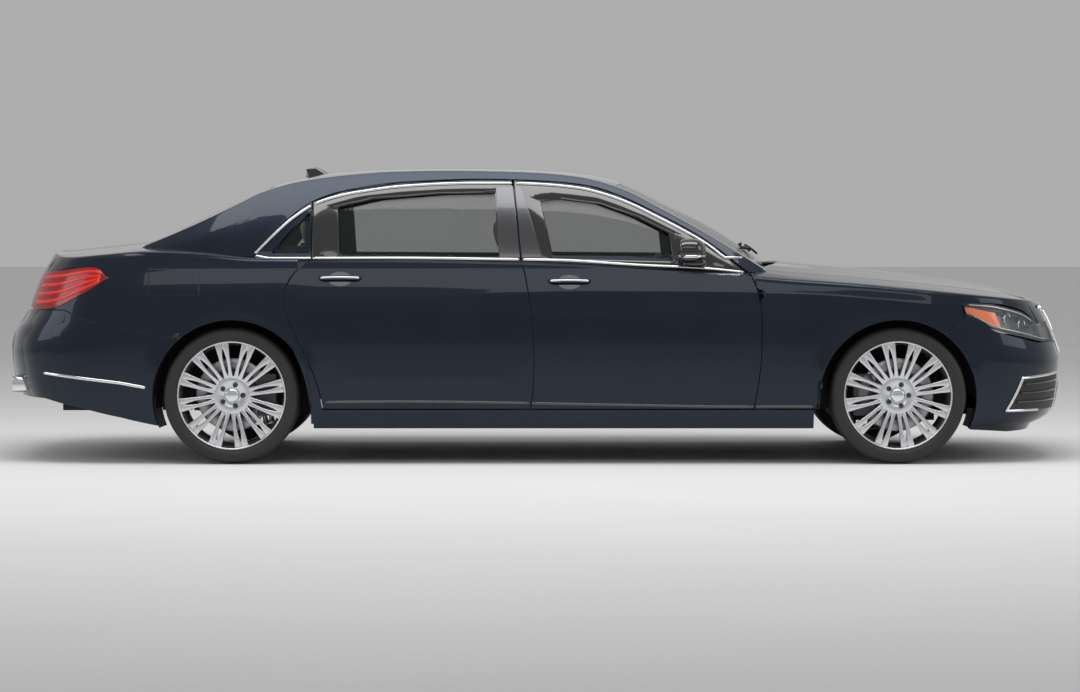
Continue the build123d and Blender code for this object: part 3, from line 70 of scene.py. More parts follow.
# %% Shader helpers
class Wire:
    """One output socket. Arithmetic on it adds Math nodes to the same material."""

    def __init__(self, finish, socket):
        self.finish = finish
        self.socket = socket

    def maths(self, operation, first, second=0.0):
        return self.finish.node("ShaderNodeMath", {"operation": operation}, {0: first, 1: second})

    def __add__(self, other):
        return self.maths("ADD", self, other)

    def __sub__(self, other):
        return self.maths("SUBTRACT", self, other)

    def __rsub__(self, other):
        return self.maths("SUBTRACT", other, self)

    def __mul__(self, other):
        return self.maths("MULTIPLY", self, other)

    __radd__ = __add__
    __rmul__ = __mul__


class Finish:
    """One procedural material round a Principled shader, with its fixed values set on it."""

    def __init__(self, name, color, **fixed):
        self.material = bpy.data.materials.new(name)
        self.material.use_nodes = True
        self.tree = self.material.node_tree
        self.shader = self.tree.nodes["Principled BSDF"]
        self.shader.inputs["Base Color"].default_value = (*color, 1.0)
        for socket, value in fixed.items():
            self.shader.inputs[socket.replace("_", " ")].default_value = value
        self.material.diffuse_color = (*color, 1.0)

    def node(self, kind, settings=None, inputs=None, output=0):
        """A node with its settings made first, its sockets filled, and one output wrapped."""
        made = self.tree.nodes.new(kind)
        for name, value in (settings or {}).items():
            setattr(made, name, value)
        for name, value in (inputs or {}).items():
            self.feed(made.inputs[name], value)
        return Wire(self, made.outputs[output])

    def feed(self, socket, value):
        """Link a wire to a socket, or set the socket to a plain value."""
        if isinstance(value, Wire):
            self.tree.links.new(value.socket, socket)
        else:
            socket.default_value = value

    def place(self):
        """The surface's own place, in metres."""
        return self.node("ShaderNodeTexCoord", output="Object")

    def noise(self, scale, detail=3.0, stretch=(1.0, 1.0, 1.0)):
        """Cloudy noise, about 0.5 on average, with this many spots a metre."""
        spot = self.node("ShaderNodeMapping", {}, {"Vector": self.place(), "Scale": stretch})
        return self.node("ShaderNodeTexNoise", {}, {"Vector": spot, "Scale": scale, "Detail": detail})

    def mix(self, share, first, second):
        """A colour between two others."""
        kind = {"data_type": "RGBA"}
        shades = [(*c, 1.0) if isinstance(c, tuple) else c for c in (first, second)]
        return self.node("ShaderNodeMix", kind, {0: share, 6: shades[0], 7: shades[1]}, 2)

    def set(self, socket, value):
        """Feed one of the shader's own sockets."""
        self.feed(self.shader.inputs[socket], value)
        return self

    def bump(self, height, distance, strength=1.0):
        """Raise the surface by a height map."""
        raised = self.node("ShaderNodeBump", {},
                           {"Height": height, "Distance": distance, "Strength": strength})
        return self.set("Normal", raised)


# %% [markdown]
# ## Finishes
# The paint is a very dark blue with fine metal flakes under a clear coat. The flakes are
# small cells whose brightness varies, and the coat gives the sharp reflection on top.

# %% Paint
def make_paint():
    """Dark blue metallic paint: flakes vary its colour, and a clear coat lies over it."""
    paint = Finish("paint", (0.012, 0.024, 0.048), Metallic=0.75, Roughness=0.34, Coat_Weight=1.0,
                   Coat_Roughness=0.03, Coat_IOR=1.34, Specular_IOR_Level=0.3)
    flakes = paint.node("ShaderNodeTexVoronoi", {}, {"Vector": paint.place(), "Scale": 1400.0}, "Color")
    grain = paint.node("ShaderNodeSeparateColor", {}, {"Color": flakes})
    haze = paint.noise(3.0, 2.0)
    paint.set("Base Color",
              paint.mix(grain * 0.6 + haze * 0.25, (0.002, 0.005, 0.012), (0.012, 0.023, 0.046)))
    paint.set("Roughness", haze * 0.06 + 0.31)
    return paint.material


PAINT = make_paint()

# %% Bright and plain finishes
def plain(name, color, spots=120.0, spread=0.12, depth=0.0, **fixed):
    """A finish whose colour and roughness vary a little, with an optional fine bump."""
    finish = Finish(name, color, **fixed)
    cloud = finish.noise(spots)
    dark = tuple(c * (1.0 - spread) for c in color)
    light = tuple(min(c * (1.0 + spread), 1.0) for c in color)
    finish.set("Base Color", finish.mix(cloud, dark, light))
    rough = fixed.get("Roughness", 0.5)
    finish.set("Roughness", cloud * (rough * 0.3) + rough * 0.85)
    if depth:
        finish.bump(cloud, depth)
    return finish.material


CHROME = plain("chrome", (0.78, 0.79, 0.80), 30.0, 0.03, Metallic=1.0, Roughness=0.07)
SATIN = plain("satin_trim", (0.085, 0.087, 0.092), 60.0, 0.06, Metallic=0.8, Roughness=0.22, Coat_Weight=0.6)
ALLOY = plain("alloy", (0.66, 0.67, 0.69), 40.0, 0.05, Metallic=0.9, Roughness=0.24, Coat_Weight=0.4)
STEEL = plain("brake_steel", (0.35, 0.35, 0.36), 300.0, 0.2, 0.0002, Metallic=1.0, Roughness=0.35)
IRON = plain("cast_iron", (0.10, 0.10, 0.105), 260.0, 0.25, 0.0006, Metallic=0.6, Roughness=0.6)
UNDERBODY = plain("underbody", (0.025, 0.025, 0.027), 90.0, 0.3, 0.0008, Roughness=0.85)
GLOSS_BLACK = plain("gloss_black", (0.006, 0.006, 0.007), 20.0, 0.1, Roughness=0.12, Coat_Weight=1.0)
SATIN_BLACK = plain("satin_black", (0.012, 0.012, 0.013), 500.0, 0.3, 0.00015, Roughness=0.5)
# Painted shade: a near-black finish that only darkens the gap round the fuel flap.
GAP_SHADE = plain("rubber_seal", (0.010, 0.010, 0.010), 300.0, 0.2, 0.0002, Roughness=0.7)
TREAD = plain("tyre_rubber", (0.018, 0.018, 0.019), 350.0, 0.3, 0.0003, Roughness=0.62)
BOARD = plain("cabin_board", (0.030, 0.028, 0.027), 700.0, 0.3, 0.0003, Roughness=0.6)
CALIPER = plain("caliper_paint", (0.20, 0.20, 0.21), 60.0, 0.1, Metallic=0.5, Roughness=0.35)
LAMP_DARK = plain("lamp_bezel", (0.02, 0.02, 0.022), 90.0, 0.2, Roughness=0.3, Coat_Weight=0.5)
REFLECTOR = plain("lamp_reflector", (0.75, 0.76, 0.78), 30.0, 0.04, Metallic=1.0, Roughness=0.12)
AMBER = plain("amber_lens", (0.85, 0.16, 0.01), 260.0, 0.15, 0.0004, Roughness=0.15, Coat_Weight=1.0)
print("plain finishes", len(bpy.data.materials))

# %% Glass, lenses and leather
def make_glass(name, tint, rough=0.0, alpha=0.25):
    """Thin glass: a glossy, lightly tinted skin that mostly lets light straight through."""
    glass = Finish(name, tint, Roughness=rough, Specular_IOR_Level=0.6, Alpha=alpha, Coat_Weight=0.0)
    haze = glass.noise(6.0)
    glass.set("Roughness", haze * 0.02 + rough)
    glass.material.surface_render_method = "BLENDED"
    return glass.material


GLASS = make_glass("window_glass", (0.02, 0.028, 0.027), 0.01, 0.24)
CLEAR = make_glass("lamp_glass", (0.5, 0.52, 0.55), 0.01, 0.12)
RED = plain("red_lens", (0.26, 0.003, 0.004), 240.0, 0.2, 0.0003, Roughness=0.16, Coat_Weight=0.3)
RED_GLOW = Finish("red_bar", (0.60, 0.01, 0.01), Roughness=0.2, Coat_Weight=0.3)
RED_GLOW.shader.inputs["Emission Color"].default_value = (1.0, 0.03, 0.02, 1.0)
RED_GLOW.shader.inputs["Emission Strength"].default_value = 0.14
red_ribs = RED_GLOW.noise(400.0)
RED_GLOW.set("Base Color", RED_GLOW.mix(red_ribs, (0.45, 0.005, 0.005), (0.70, 0.015, 0.010)))
RED_GLOW = RED_GLOW.material


def make_leather(name, color):
    """Leather: small rounded cells pressed into the surface, with soft colour patches."""
    hide = Finish(name, color, Roughness=0.5, Sheen_Weight=0.15)
    cells = hide.node("ShaderNodeTexVoronoi", {"feature": "SMOOTH_F1"},
                      {"Vector": hide.place(), "Scale": 420.0})
    patches = hide.noise(7.0)
    dark = tuple(c * 0.86 for c in color)
    hide.set("Base Color", hide.mix(patches, dark, tuple(min(c * 1.08, 1.0) for c in color)))
    hide.set("Roughness", cells * 0.25 + 0.42)
    return hide.bump(cells, 0.0006).material


CREAM = make_leather("cream_leather", (0.72, 0.66, 0.56))
BLACK_LEATHER = make_leather("black_leather", (0.020, 0.019, 0.018))


def make_wood():
    """Dark burr wood under lacquer: stretched noise bends a second, finer noise."""
    wood = Finish("burr_wood", (0.06, 0.03, 0.015), Roughness=0.2, Coat_Weight=0.8)
    figure = wood.noise(14.0, 6.0, (1.0, 4.0, 4.0))
    wood.set("Base Color", wood.mix(figure, (0.012, 0.006, 0.003), (0.16, 0.085, 0.04)))
    return wood.material


WOOD = make_wood()
print("finishes", len(bpy.data.materials))

# %% [markdown]
# ## Meshes from grids
# Nearly every piece is a grid of points worked out by a formula. One helper turns a grid into
# a mesh with its faces outwards. Another rolls the grid's edges back into the body, the way a
# pressed panel is folded round its frame, so that shut lines look deep.

# %% Grid helpers
def cross(a, b):
    """Unit vectors square to two sets of vectors."""
    c = np.cross(a, b)
    return c / np.maximum(np.linalg.norm(c, axis=-1, keepdims=True), 1e-12)


def unit(v):
    """The same vectors, one long."""
    return v / np.maximum(np.linalg.norm(v, axis=-1, keepdims=True), 1e-12)


def normals_of(grid):
    """The surface's direction at each point: square to the grid's rows and columns."""
    return cross(np.gradient(grid, axis=0), np.gradient(grid, axis=1))


def mesh_piece(name, points, faces, finish, body, smooth=True):
    """Put points and faces into a new object that rides on a body."""
    mesh = bpy.data.meshes.new(name)
    mesh.from_pydata(points.reshape(-1, 3).tolist(), [], faces.tolist())
    mesh.validate()
    mesh.polygons.foreach_set("use_smooth", np.full(len(mesh.polygons), smooth))
    mesh.materials.append(finish)
    piece = bpy.data.objects.new(name, mesh)
    bpy.context.scene.collection.objects.link(piece)
    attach(piece, body)
    return piece


def grid_faces(rows, columns, closed_rows=False, closed_columns=False, start=0):
    """Four-cornered faces between a grid's neighbouring points."""
    i = np.arange(rows if closed_rows else rows - 1)
    j = np.arange(columns if closed_columns else columns - 1)
    i, j = np.meshgrid(i, j, indexing="ij")
    i, j = i.ravel(), j.ravel()
    down, right = (i + 1) % rows, (j + 1) % columns
    return start + np.stack([i * columns + j, down * columns + j, down * columns + right,
                             i * columns + right], 1)


def outward(points, faces, centre):
    """Turn the faces round if they look towards the centre on the whole."""
    flat = points.reshape(-1, 3)
    a, b, d = flat[faces[:, 0]], flat[faces[:, 1]], flat[faces[:, 3]]
    look = np.cross(b - a, d - a)
    away = ((a + b + d) / 3 - np.asarray(centre))
    return faces if (look * away).sum() >= 0 else faces[:, ::-1]


def surface(name, grid, finish, body, centre=(0.0, 0.0, 0.5), closed_rows=False, closed_columns=False):
    """A grid as it stands."""
    faces = grid_faces(grid.shape[0], grid.shape[1], closed_rows, closed_columns)
    return mesh_piece(name, grid, outward(grid, faces, centre), finish, body)


def supported(grid, gap=0.002):
    """The grid with one more row and column just inside each edge, so that shading stays flat."""
    for axis in (0, 1):
        g = np.moveaxis(grid, axis, 0)
        added = []
        for edge, inner in ((0, 1), (-1, -2)):
            step = g[inner] - g[edge]
            room = 0.4 * np.linalg.norm(step, axis=-1, keepdims=True)
            added.append((g[edge] + unit(step) * np.minimum(gap, room))[None])
        grid = np.moveaxis(np.concatenate([g[:1], added[0], g[1:-1], added[1], g[-1:]]), 0, axis)
    return grid


def rolled(grid, centre, depth, corner=0.0015):
    """The grid with its four edges rounded over and folded back by depth."""
    normals = normals_of(grid)
    if (normals * (grid - np.asarray(centre))).sum() < 0:
        normals = -normals
    for axis in (0, 1):
        g, n = np.moveaxis(grid, axis, 0), np.moveaxis(normals, axis, 0)
        rings = []
        for edge, inner in ((0, 1), (-1, -2)):
            out = unit(g[edge] - g[inner])
            rings.append([g[edge] + out * corner - n[edge] * corner,
                          g[edge] + out * corner - n[edge] * depth])
        grid = np.concatenate([rings[0][1][None], rings[0][0][None], g, rings[1][0][None], rings[1][1][None]])
        grid = np.moveaxis(grid, 0, axis)
        normals = np.moveaxis(np.concatenate([n[:1], n[:1], n, n[-1:], n[-1:]]), 0, axis)
    return grid


def panel(name, grid, finish, body, depth=0.014, centre=(0.0, 0.0, 0.5)):
    """A pressed panel: a smooth face with its edges folded back."""
    return surface(name, rolled(supported(grid), centre, depth), finish, body, centre)


SIDES = {"left": 1.0, "right": -1.0}


def both(maker, name, grid, finish, bodies, **more):
    """Make a left-hand grid's piece on both sides. {} in the body's name takes the side."""
    for side, sign in SIDES.items():
        maker(f"{name}_{side}", grid * np.array([1.0, sign, 1.0]), finish, bodies.format(side), **more)


def curve(points):
    """A smooth line through (place, value) points that never overshoots, for whole arrays."""
    xs, ys = np.array(points, float).T
    rises = np.diff(ys) / np.diff(xs)
    total = rises[:-1] + rises[1:]
    same = rises[:-1] * rises[1:] > 0
    bends = np.where(same, 2 * rises[:-1] * rises[1:] / np.where(same, total, 1), 0)
    slopes = np.concatenate([rises[:1], bends, rises[-1:]])

    def value(x):
        x = np.clip(x, xs[0], xs[-1])
        i = np.clip(np.searchsorted(xs, x, side="right") - 1, 0, len(xs) - 2)
        step = xs[i + 1] - xs[i]
        t = (x - xs[i]) / step
        low = (1 + 2 * t) * (1 - t) ** 2 * ys[i] + t * (1 - t) ** 2 * step * slopes[i]
        return low + t * t * (3 - 2 * t) * ys[i + 1] + t * t * (t - 1) * step * slopes[i + 1]

    return value


def soft_curve(control, shares):
    """Smooth cubic curve pulled by rows of control points, ends included, at shares 0 to 1."""
    first, last = 2 * control[:1] - control[1:2], 2 * control[-1:] - control[-2:-1]
    p = np.concatenate([first, control, last])
    t = np.asarray(shares) * (len(control) - 1)
    i = np.minimum(t.astype(int), len(control) - 2)
    u = (t - i).reshape((-1,) + (1,) * (control.ndim - 1))
    basis = ((1 - u) ** 3, 3 * u ** 3 - 6 * u ** 2 + 4, -3 * u ** 3 + 3 * u ** 2 + 3 * u + 1, u ** 3)
    return sum(weight * p[i + k] for k, weight in enumerate(basis)) / 6


def strip(name, path, face, section, finish, body, closed=False):
    """A bar: a closed (across, out) section carried along a path on a surface."""
    along = unit(np.gradient(path, axis=0))
    if closed:
        along = unit(np.roll(path, -1, 0) - np.roll(path, 1, 0))
    face = unit(face - along * (face * along).sum(-1, keepdims=True))
    side = np.cross(along, face)
    section = np.array(section)
    grid = path[:, None] + side[:, None] * section[None, :, :1] + face[:, None] * section[None, :, 1:]
    rows, columns = grid.shape[:2]
    faces = grid_faces(rows, columns, closed, True)
    centre_line = np.repeat(path[:, None], columns, 1)
    look = np.cross(grid[1, 1] - grid[0, 0], grid[0, 1] - grid[1, 0])
    faces = faces if (look * (grid[0, 0] + grid[0, 1] - 2 * centre_line[0, 0])).sum() >= 0 else faces[:, ::-1]
    piece = mesh_piece(name, grid, faces, finish, body)
    if not closed:
        tidy_faces(piece, merge=None)
    return piece


def tidy_faces(piece, merge=1e-5):
    """Merge doubled points, close open ends and turn every face outwards."""
    work = bmesh.new()
    work.from_mesh(piece.data)
    if merge:
        bmesh.ops.remove_doubles(work, verts=work.verts, dist=merge)
    bmesh.ops.holes_fill(work, edges=[e for e in work.edges if e.is_boundary], sides=0)
    bmesh.ops.recalc_face_normals(work, faces=work.faces)
    work.to_mesh(piece.data)
    work.free()


def oval(width, height, count=12, low=-1.0):
    """A closed oval section, cut off flat below the given share of its height."""
    turn = np.linspace(0, 2 * np.pi, count, endpoint=False)
    return np.stack([np.cos(turn) * width / 2, np.maximum(np.sin(turn), low) * height], 1)

# %% [markdown]
# ## The body's form
# The sides, nose and tail of the lower body are one rounded shape, and the deck is a second
# that closes it above. Written as formulas, they give every panel the same smooth surface, so
# reflections run on across the shut lines as they do on a pressed steel body.

# %% Body curves
side_inset = curve([(0.120, 0.082), (0.177, 0.062), (0.230, 0.040), (0.300, 0.024), (0.400, 0.011),
                    (0.520, 0.003), (0.640, 0.0), (0.760, 0.001), (0.868, 0.010), (0.940, 0.024),
                    (1.020, 0.046), (1.100, 0.076)])
nose_inset = curve([(0.120, 0.170), (0.186, 0.130), (0.220, 0.050), (0.300, 0.015), (0.420, 0.002),
                    (0.500, 0.0), (0.560, 0.008), (0.640, 0.035), (0.720, 0.068), (0.795, 0.115),
                    (0.900, 0.190), (1.140, 0.330)])
tail_inset = curve([(0.120, 0.230), (0.200, 0.130), (0.335, 0.040), (0.467, 0.005), (0.550, 0.0),
                    (0.633, 0.010), (0.683, 0.030), (0.713, 0.058), (0.758, 0.082), (0.819, 0.098),
                    (0.884, 0.123), (0.939, 0.143), (0.989, 0.173), (1.014, 0.200), (1.060, 0.230),
                    (1.140, 0.280)])
edge_height = curve([(-2.730, 0.915), (-2.600, 0.985), (-2.437, 1.000), (-2.200, 1.040), (-1.950, 1.062),
                     (-1.700, 1.055), (-1.419, 1.032), (-0.689, 1.029), (-0.185, 1.019), (0.117, 1.012),
                     (0.520, 0.985), (0.823, 0.969), (1.084, 0.947), (1.221, 0.935), (1.640, 0.905),
                     (2.007, 0.868), (2.321, 0.822), (2.530, 0.770), (2.650, 0.720), (2.730, 0.675)])
middle_height = curve([(-2.730, 0.975), (-2.600, 1.035), (-2.437, 1.070), (-2.200, 1.095), (-1.950, 1.118),
                       (-1.700, 1.110), (-1.419, 1.080), (-0.689, 1.060), (-0.185, 1.050), (0.520, 1.040),
                       (1.084, 1.035), (1.221, 1.015), (1.640, 0.975), (2.007, 0.932), (2.321, 0.888),
                       (2.530, 0.838), (2.650, 0.785), (2.730, 0.720)])
crease_height = curve([(-1.343, 0.800), (-1.268, 0.822), (-1.192, 0.832), (-0.689, 0.835), (-0.044, 0.857),
                       (0.319, 0.865), (0.823, 0.863), (1.326, 0.856), (1.729, 0.829), (2.162, 0.787)])
PROUD = 0.003
STRAIGHT = 1.2
END_LENGTH = 1.45
ARCH_RADIUS = 0.400
ARCH_Z = 0.328
LOW_LINE_Z = 0.433


def smooth_step(value, low, high):
    """0 below low, 1 above high, and an S-curve between."""
    t = np.clip((value - low) / (high - low), 0.0, 1.0)
    return t * t * (3 - 2 * t)


def ends(sign):
    """The inset curve and the two powers of the nose (1) or the tail (-1)."""
    return (nose_inset, 5.0, 3.0) if sign > 0 else (tail_inset, 6.0, 3.4)


def share_of(sign, x, z):
    """How far along its end a station lies: 0 where the rounding starts, 1 at the tip."""
    past = np.abs(x) - STRAIGHT
    reach = HALF_LENGTH - ends(sign)[0](z) - STRAIGHT
    return np.where(past < 0, past / END_LENGTH, np.clip(past / reach, 0.0, 1.0))


def at_share(sign, share, z, proud=PROUD):
    """A surface point by its share and height: y falls off as (1 - share^power)^(1/root)."""
    inset, power, root = ends(sign)
    reach = HALF_LENGTH - inset(z) - STRAIGHT
    ahead = np.clip(share, 0.0, 1.0)
    x = sign * (STRAIGHT + np.where(share < 0, share * END_LENGTH, ahead * reach))
    fall = (1 - ahead ** power) ** (1 / root)
    y = (HALF_WIDTH - side_inset(z)) * fall + proud * np.sqrt(fall)
    return np.stack([x + sign * proud * (1 - np.sqrt(fall)), y, z + 0.0 * x], -1)


def turn_share(sign, turn):
    """Share by a quarter turn's angle, which spreads points evenly round the corner."""
    return np.sin(np.clip(turn, 0.0, np.pi / 2)) ** (2 / ends(sign)[1])


def side_y(x, z, proud=PROUD):
    """Half width by station and height."""
    front = at_share(1.0, share_of(1.0, x, z), z, proud)[..., 1]
    rear = at_share(-1.0, share_of(-1.0, x, z), z, proud)[..., 1]
    return np.where(x > 0, front, rear)


def deck_z(x, y, proud=PROUD):
    """Deck height: the edge's, and the middle's added by how near the centre it is."""
    rise = middle_height(x) - edge_height(x)
    return edge_height(x) + rise * (1 - np.abs(1.1 * y / (HALF_WIDTH + 0.05)) ** 2.3) + proud


def relief(x, z):
    """What stands out of the side: the character line, a low sill line and the arches' lips."""
    fade = smooth_step(x, -1.36, -1.05) * (1 - smooth_step(x, 1.95, 2.25))
    line = 0.0055 * fade * np.exp(-np.abs(z - crease_height(x)) / 0.040)
    low_fade = smooth_step(x, -1.10, -0.85) * (1 - smooth_step(x, -0.25, 0.05))
    low_line = 0.003 * low_fade * np.exp(-np.abs(z - LOW_LINE_Z) / 0.03)
    lips = 0.0
    for axle in (FRONT_AXLE, REAR_AXLE):
        away = np.hypot(x - axle, z - ARCH_Z) - ARCH_RADIUS
        lips = lips + 0.007 * np.exp(-(away / 0.035) ** 2)
    return line + low_line + lips


def on_side(flat):
    """Side points from (x, z) points, with the relief added."""
    x, z = flat[..., 0], flat[..., 1]
    return np.stack([x, side_y(x, z) + relief(x, z), z], -1)


def even(points, count):
    """Evenly spread points along a bent line."""
    points = np.array(points, float)
    steps = np.linalg.norm(np.diff(points, axis=0), axis=1)
    along = np.concatenate([[0.0], np.cumsum(steps)])
    wanted = np.linspace(0.0, along[-1], count)
    return np.stack([np.interp(wanted, along, column) for column in points.T], 1)


def arc(axle, start, end, count, radius=ARCH_RADIUS):
    """Points round a wheel arch between two angles in degrees."""
    angle = np.radians(np.linspace(start, end, count))
    return np.stack([axle + radius * np.cos(angle), ARCH_Z + radius * np.sin(angle)], 1)


def coons(low, high, back, front):
    """A patch between four edge lines: the two ways of blending them, less the corners' own."""
    u = np.linspace(0, 1, len(low))[None, :, None]
    v = np.linspace(0, 1, len(back))[:, None, None]
    across = (1 - u) * back[:, None] + u * front[:, None]
    up = (1 - v) * low[None] + v * high[None]
    corners = (1 - v) * ((1 - u) * low[0] + u * low[-1]) + v * ((1 - u) * high[0] + u * high[-1])
    return across + up - corners


def stack(*patches):
    """Patches one above another that share their meeting rows."""
    return np.concatenate([patches[0]] + [patch[1:] for patch in patches[1:]])


# %% [markdown]
# ## Doors
# A door skin lies between two curved shut lines, the sill and the window ledge. Its rows are
# drawn to the character line, because an edge that crosses a grid at a slant turns into steps.

# %% Door skins
front_shut = curve([(0.278, 1.095), (0.414, 1.120), (0.590, 1.135), (0.716, 1.135), (0.852, 1.120),
                    (0.947, 1.084), (1.010, 1.066)])
middle_shut = curve([(0.278, -0.032), (0.373, -0.019), (0.520, -0.014), (0.675, -0.019), (0.820, -0.036),
                     (0.960, -0.060), (1.033, -0.079)])
rear_shut = curve([(0.278, -1.080), (0.364, -1.097), (0.500, -1.142), (0.625, -1.205), (0.738, -1.253),
                   (0.839, -1.278), (0.922, -1.250), (0.966, -1.220), (1.030, -1.137)])
GAP = 0.0028
DOOR_LOW = 0.281


def meet(shut, shift, level):
    """The place where a shut line crosses a level line."""
    x = shut(np.array(0.7)) + shift
    for _ in range(6):
        x = shut(level(x)) + shift
    return x


def door_patch(low, high, back, front, rows, columns=60):
    """A patch between two level lines, each height by station, and two shifted shut lines."""
    def level_line(level):
        x = np.linspace(meet(*back, level), meet(*front, level), columns)
        return np.stack([x, level(x)], 1)

    def shut_line(shut, shift):
        z = np.linspace(low(meet(shut, shift, low)), high(meet(shut, shift, high)), rows)
        return np.stack([shut(z) + shift, z], 1)

    return coons(level_line(low), level_line(high), shut_line(*back), shut_line(*front))


def belt(x):
    """The door's top line, just under the window ledge."""
    return edge_height(x) - 0.010


def door_skin(back, front):
    """A door's outer face in three bands: sill to lower line, to character line, to belt."""
    def level(height):
        return lambda x: height + 0.0 * x
    bands = [level(DOOR_LOW), level(LOW_LINE_Z), crease_height, belt]
    counts = (8, 22, 12)
    return on_side(stack(*[door_patch(bands[i], bands[i + 1], back, front, counts[i]) for i in range(3)]))


front_door = door_skin((middle_shut, GAP), (front_shut, -GAP))
rear_door = door_skin((rear_shut, GAP), (middle_shut, -GAP))
both(panel, "door_skin_front", front_door, PAINT, "front_door_{}", depth=0.016)
both(panel, "door_skin_rear", rear_door, PAINT, "rear_door_{}", depth=0.016)
print("door skins", front_door.shape, rear_door.shape)

# %% [markdown]
# ## Wings and rear quarters
# These run from a shut line, round the wheel arch, and up over the shoulder to the deck. The
# patch's low line follows the arch and its high line the shoulder, so the columns fan out over
# the wheel. The shoulder itself is a soft curve pulled by the sharp corner's points.

# %% Shoulder rows
def shoulder(base, sign, inner_y, rows=14):
    """Rows from a side's top row over the rounded edge and across the deck to inner_y."""
    share = share_of(sign, base[:, 0], base[:, 2])
    z = edge_height(base[:, 0])
    for _ in range(6):
        corner = at_share(sign, share, z)
        z = deck_z(corner[:, 0], corner[:, 1], 0.0)
    corner = at_share(sign, share, z)
    corner[:, 2] += PROUD
    half = at_share(sign, share, (base[:, 2] + z) / 2)
    half[:, 1] += 0.5 * (base[:, 1] - at_share(sign, share, base[:, 2])[:, 1])
    control = [base, half, corner]
    inner = np.minimum(inner_y(corner[:, 0]), corner[:, 1] - 0.001)
    for part in (0.12, 0.35, 0.7, 1.0):
        y = corner[:, 1] + (inner - corner[:, 1]) * part
        control.append(np.stack([corner[:, 0], y, deck_z(corner[:, 0], y)], 1))
    return soft_curve(np.stack(control), np.linspace(0, 1, rows))


# %% Front wings
bonnet_edge = curve([(1.130, 0.742), (1.300, 0.742), (1.640, 0.735), (2.007, 0.702), (2.321, 0.640),
                     (2.480, 0.585), (2.600, 0.520), (2.700, 0.470)])
lamp_top = curve([(2.155, 0.800), (2.208, 0.809), (2.334, 0.804), (2.409, 0.788), (2.485, 0.763),
                  (2.560, 0.700)])
lamp_low = curve([(2.155, 0.790), (2.168, 0.765), (2.233, 0.728), (2.283, 0.692), (2.334, 0.664),
                  (2.409, 0.645), (2.485, 0.626), (2.560, 0.608), (2.650, 0.600)])
lamp_x = np.linspace(2.160, 2.545, 14)
wing_low = np.concatenate([
    even([(1.098, DOOR_LOW), (1.428, DOOR_LOW)], 10)[:-1], arc(FRONT_AXLE, 187.0, 56.5, 54),
    even([(2.066, 0.668), (2.150, 0.722), (2.160, 0.765), (2.150, 0.800)], 8),
    np.stack([lamp_x, lamp_top(lamp_x) + 0.003], 1)])
top_x = np.concatenate([np.linspace(1.077, 1.340, 9), np.linspace(1.350, 2.080, 54),
                        np.linspace(2.090, 2.150, 8), lamp_x])
wing_high = np.stack([top_x,
                      np.maximum(edge_height(top_x) - 0.05,
                                 np.where(top_x > 2.14, lamp_top(top_x) + 0.008, 0))], 1)
crease_line = np.stack([wing_low[:, 0] * 0.35 + top_x * 0.65,
                        crease_height(wing_low[:, 0] * 0.35 + top_x * 0.65)], 1)
crease_share = smooth_step(wing_low[:, 0], 1.95, 2.07)[:, None]
wing_middle = crease_line * (1 - crease_share) + (wing_low * 0.5 + wing_high * 0.5) * crease_share
z_up = np.linspace(DOOR_LOW, crease_line[0, 1], 18)
wing_middle[0] = (front_shut(crease_line[0, 1]) + GAP, crease_line[0, 1])
wing_high[0, 0] = front_shut(wing_high[0, 1]) + GAP
wing_back = np.stack([front_shut(z_up) + GAP, z_up], 1)
z_top = np.linspace(wing_middle[0, 1], wing_high[0, 1], 9)
wing_top_back = np.stack([front_shut(z_top) + GAP, z_top], 1)
wing_low[0] = wing_back[0]


def straight(start, end, count):
    """Evenly spread points on a straight line."""
    return np.linspace(start, end, count)


wing_flat = stack(coons(wing_low, wing_middle, wing_back, straight(wing_low[-1], wing_middle[-1], 18)),
                  coons(wing_middle, wing_high, wing_top_back, straight(wing_middle[-1], wing_high[-1], 9)))
wing_side = on_side(wing_flat)
wing = stack(wing_side, shoulder(wing_side[-1], 1.0, lambda x: bonnet_edge(x) + 0.003))
both(panel, "wing_skin", wing, PAINT, "body", depth=0.016)
print("wing", wing.shape)

# %% Rear quarters
LID_EDGE = 0.603
bumper_top = curve([(-2.391, 0.772), (-2.301, 0.731), (-2.200, 0.705), (-2.049, 0.674), (-1.837, 0.637),
                    (-1.780, 0.628)])
bumper_x = np.linspace(-1.806, -2.391, 22)
tail_share = 1 - (LID_EDGE / (HALF_WIDTH - 0.003)) ** 3.4
tail_share = tail_share ** (1 / 6.0)
quarter_low = np.concatenate([
    even([(-1.083, DOOR_LOW), (-1.143, DOOR_LOW)], 4)[:-1], arc(REAR_AXLE, -7.0, 131.5, 54),
    np.stack([bumper_x, bumper_top(bumper_x) + 0.004], 1)])
corner_share = np.linspace(share_of(-1.0, quarter_low[-1, 0], quarter_low[-1, 1]), tail_share, 14)[1:]
low_share = np.concatenate([share_of(-1.0, quarter_low[:, 0], quarter_low[:, 1]), corner_share])
low_z = np.concatenate([quarter_low[:, 1], np.full(13, quarter_low[-1, 1])])
top_x = np.concatenate([np.linspace(-1.200, -1.225, 3), np.linspace(-1.230, -1.830, 54),
                        np.linspace(-1.845, -2.385, 22)])
high_share = np.concatenate([share_of(-1.0, top_x, edge_height(top_x) - 0.05), np.linspace(0, 1, 14)[1:]])
high_share[-13:] = high_share[-14] + (tail_share - high_share[-14]) * high_share[-13:]
high_z = np.full(len(high_share), 0.95)
for _ in range(6):
    high_z = edge_height(at_share(-1.0, high_share, high_z)[:, 0]) - 0.05
z_side = np.linspace(DOOR_LOW, high_z[0], 30)
door_side = np.stack([share_of(-1.0, rear_shut(z_side) - GAP, z_side), z_side], 1)
low_line = np.stack([low_share, low_z], 1)
high_line = np.stack([high_share, high_z], 1)
low_line[0], high_line[0] = door_side[0], door_side[-1]
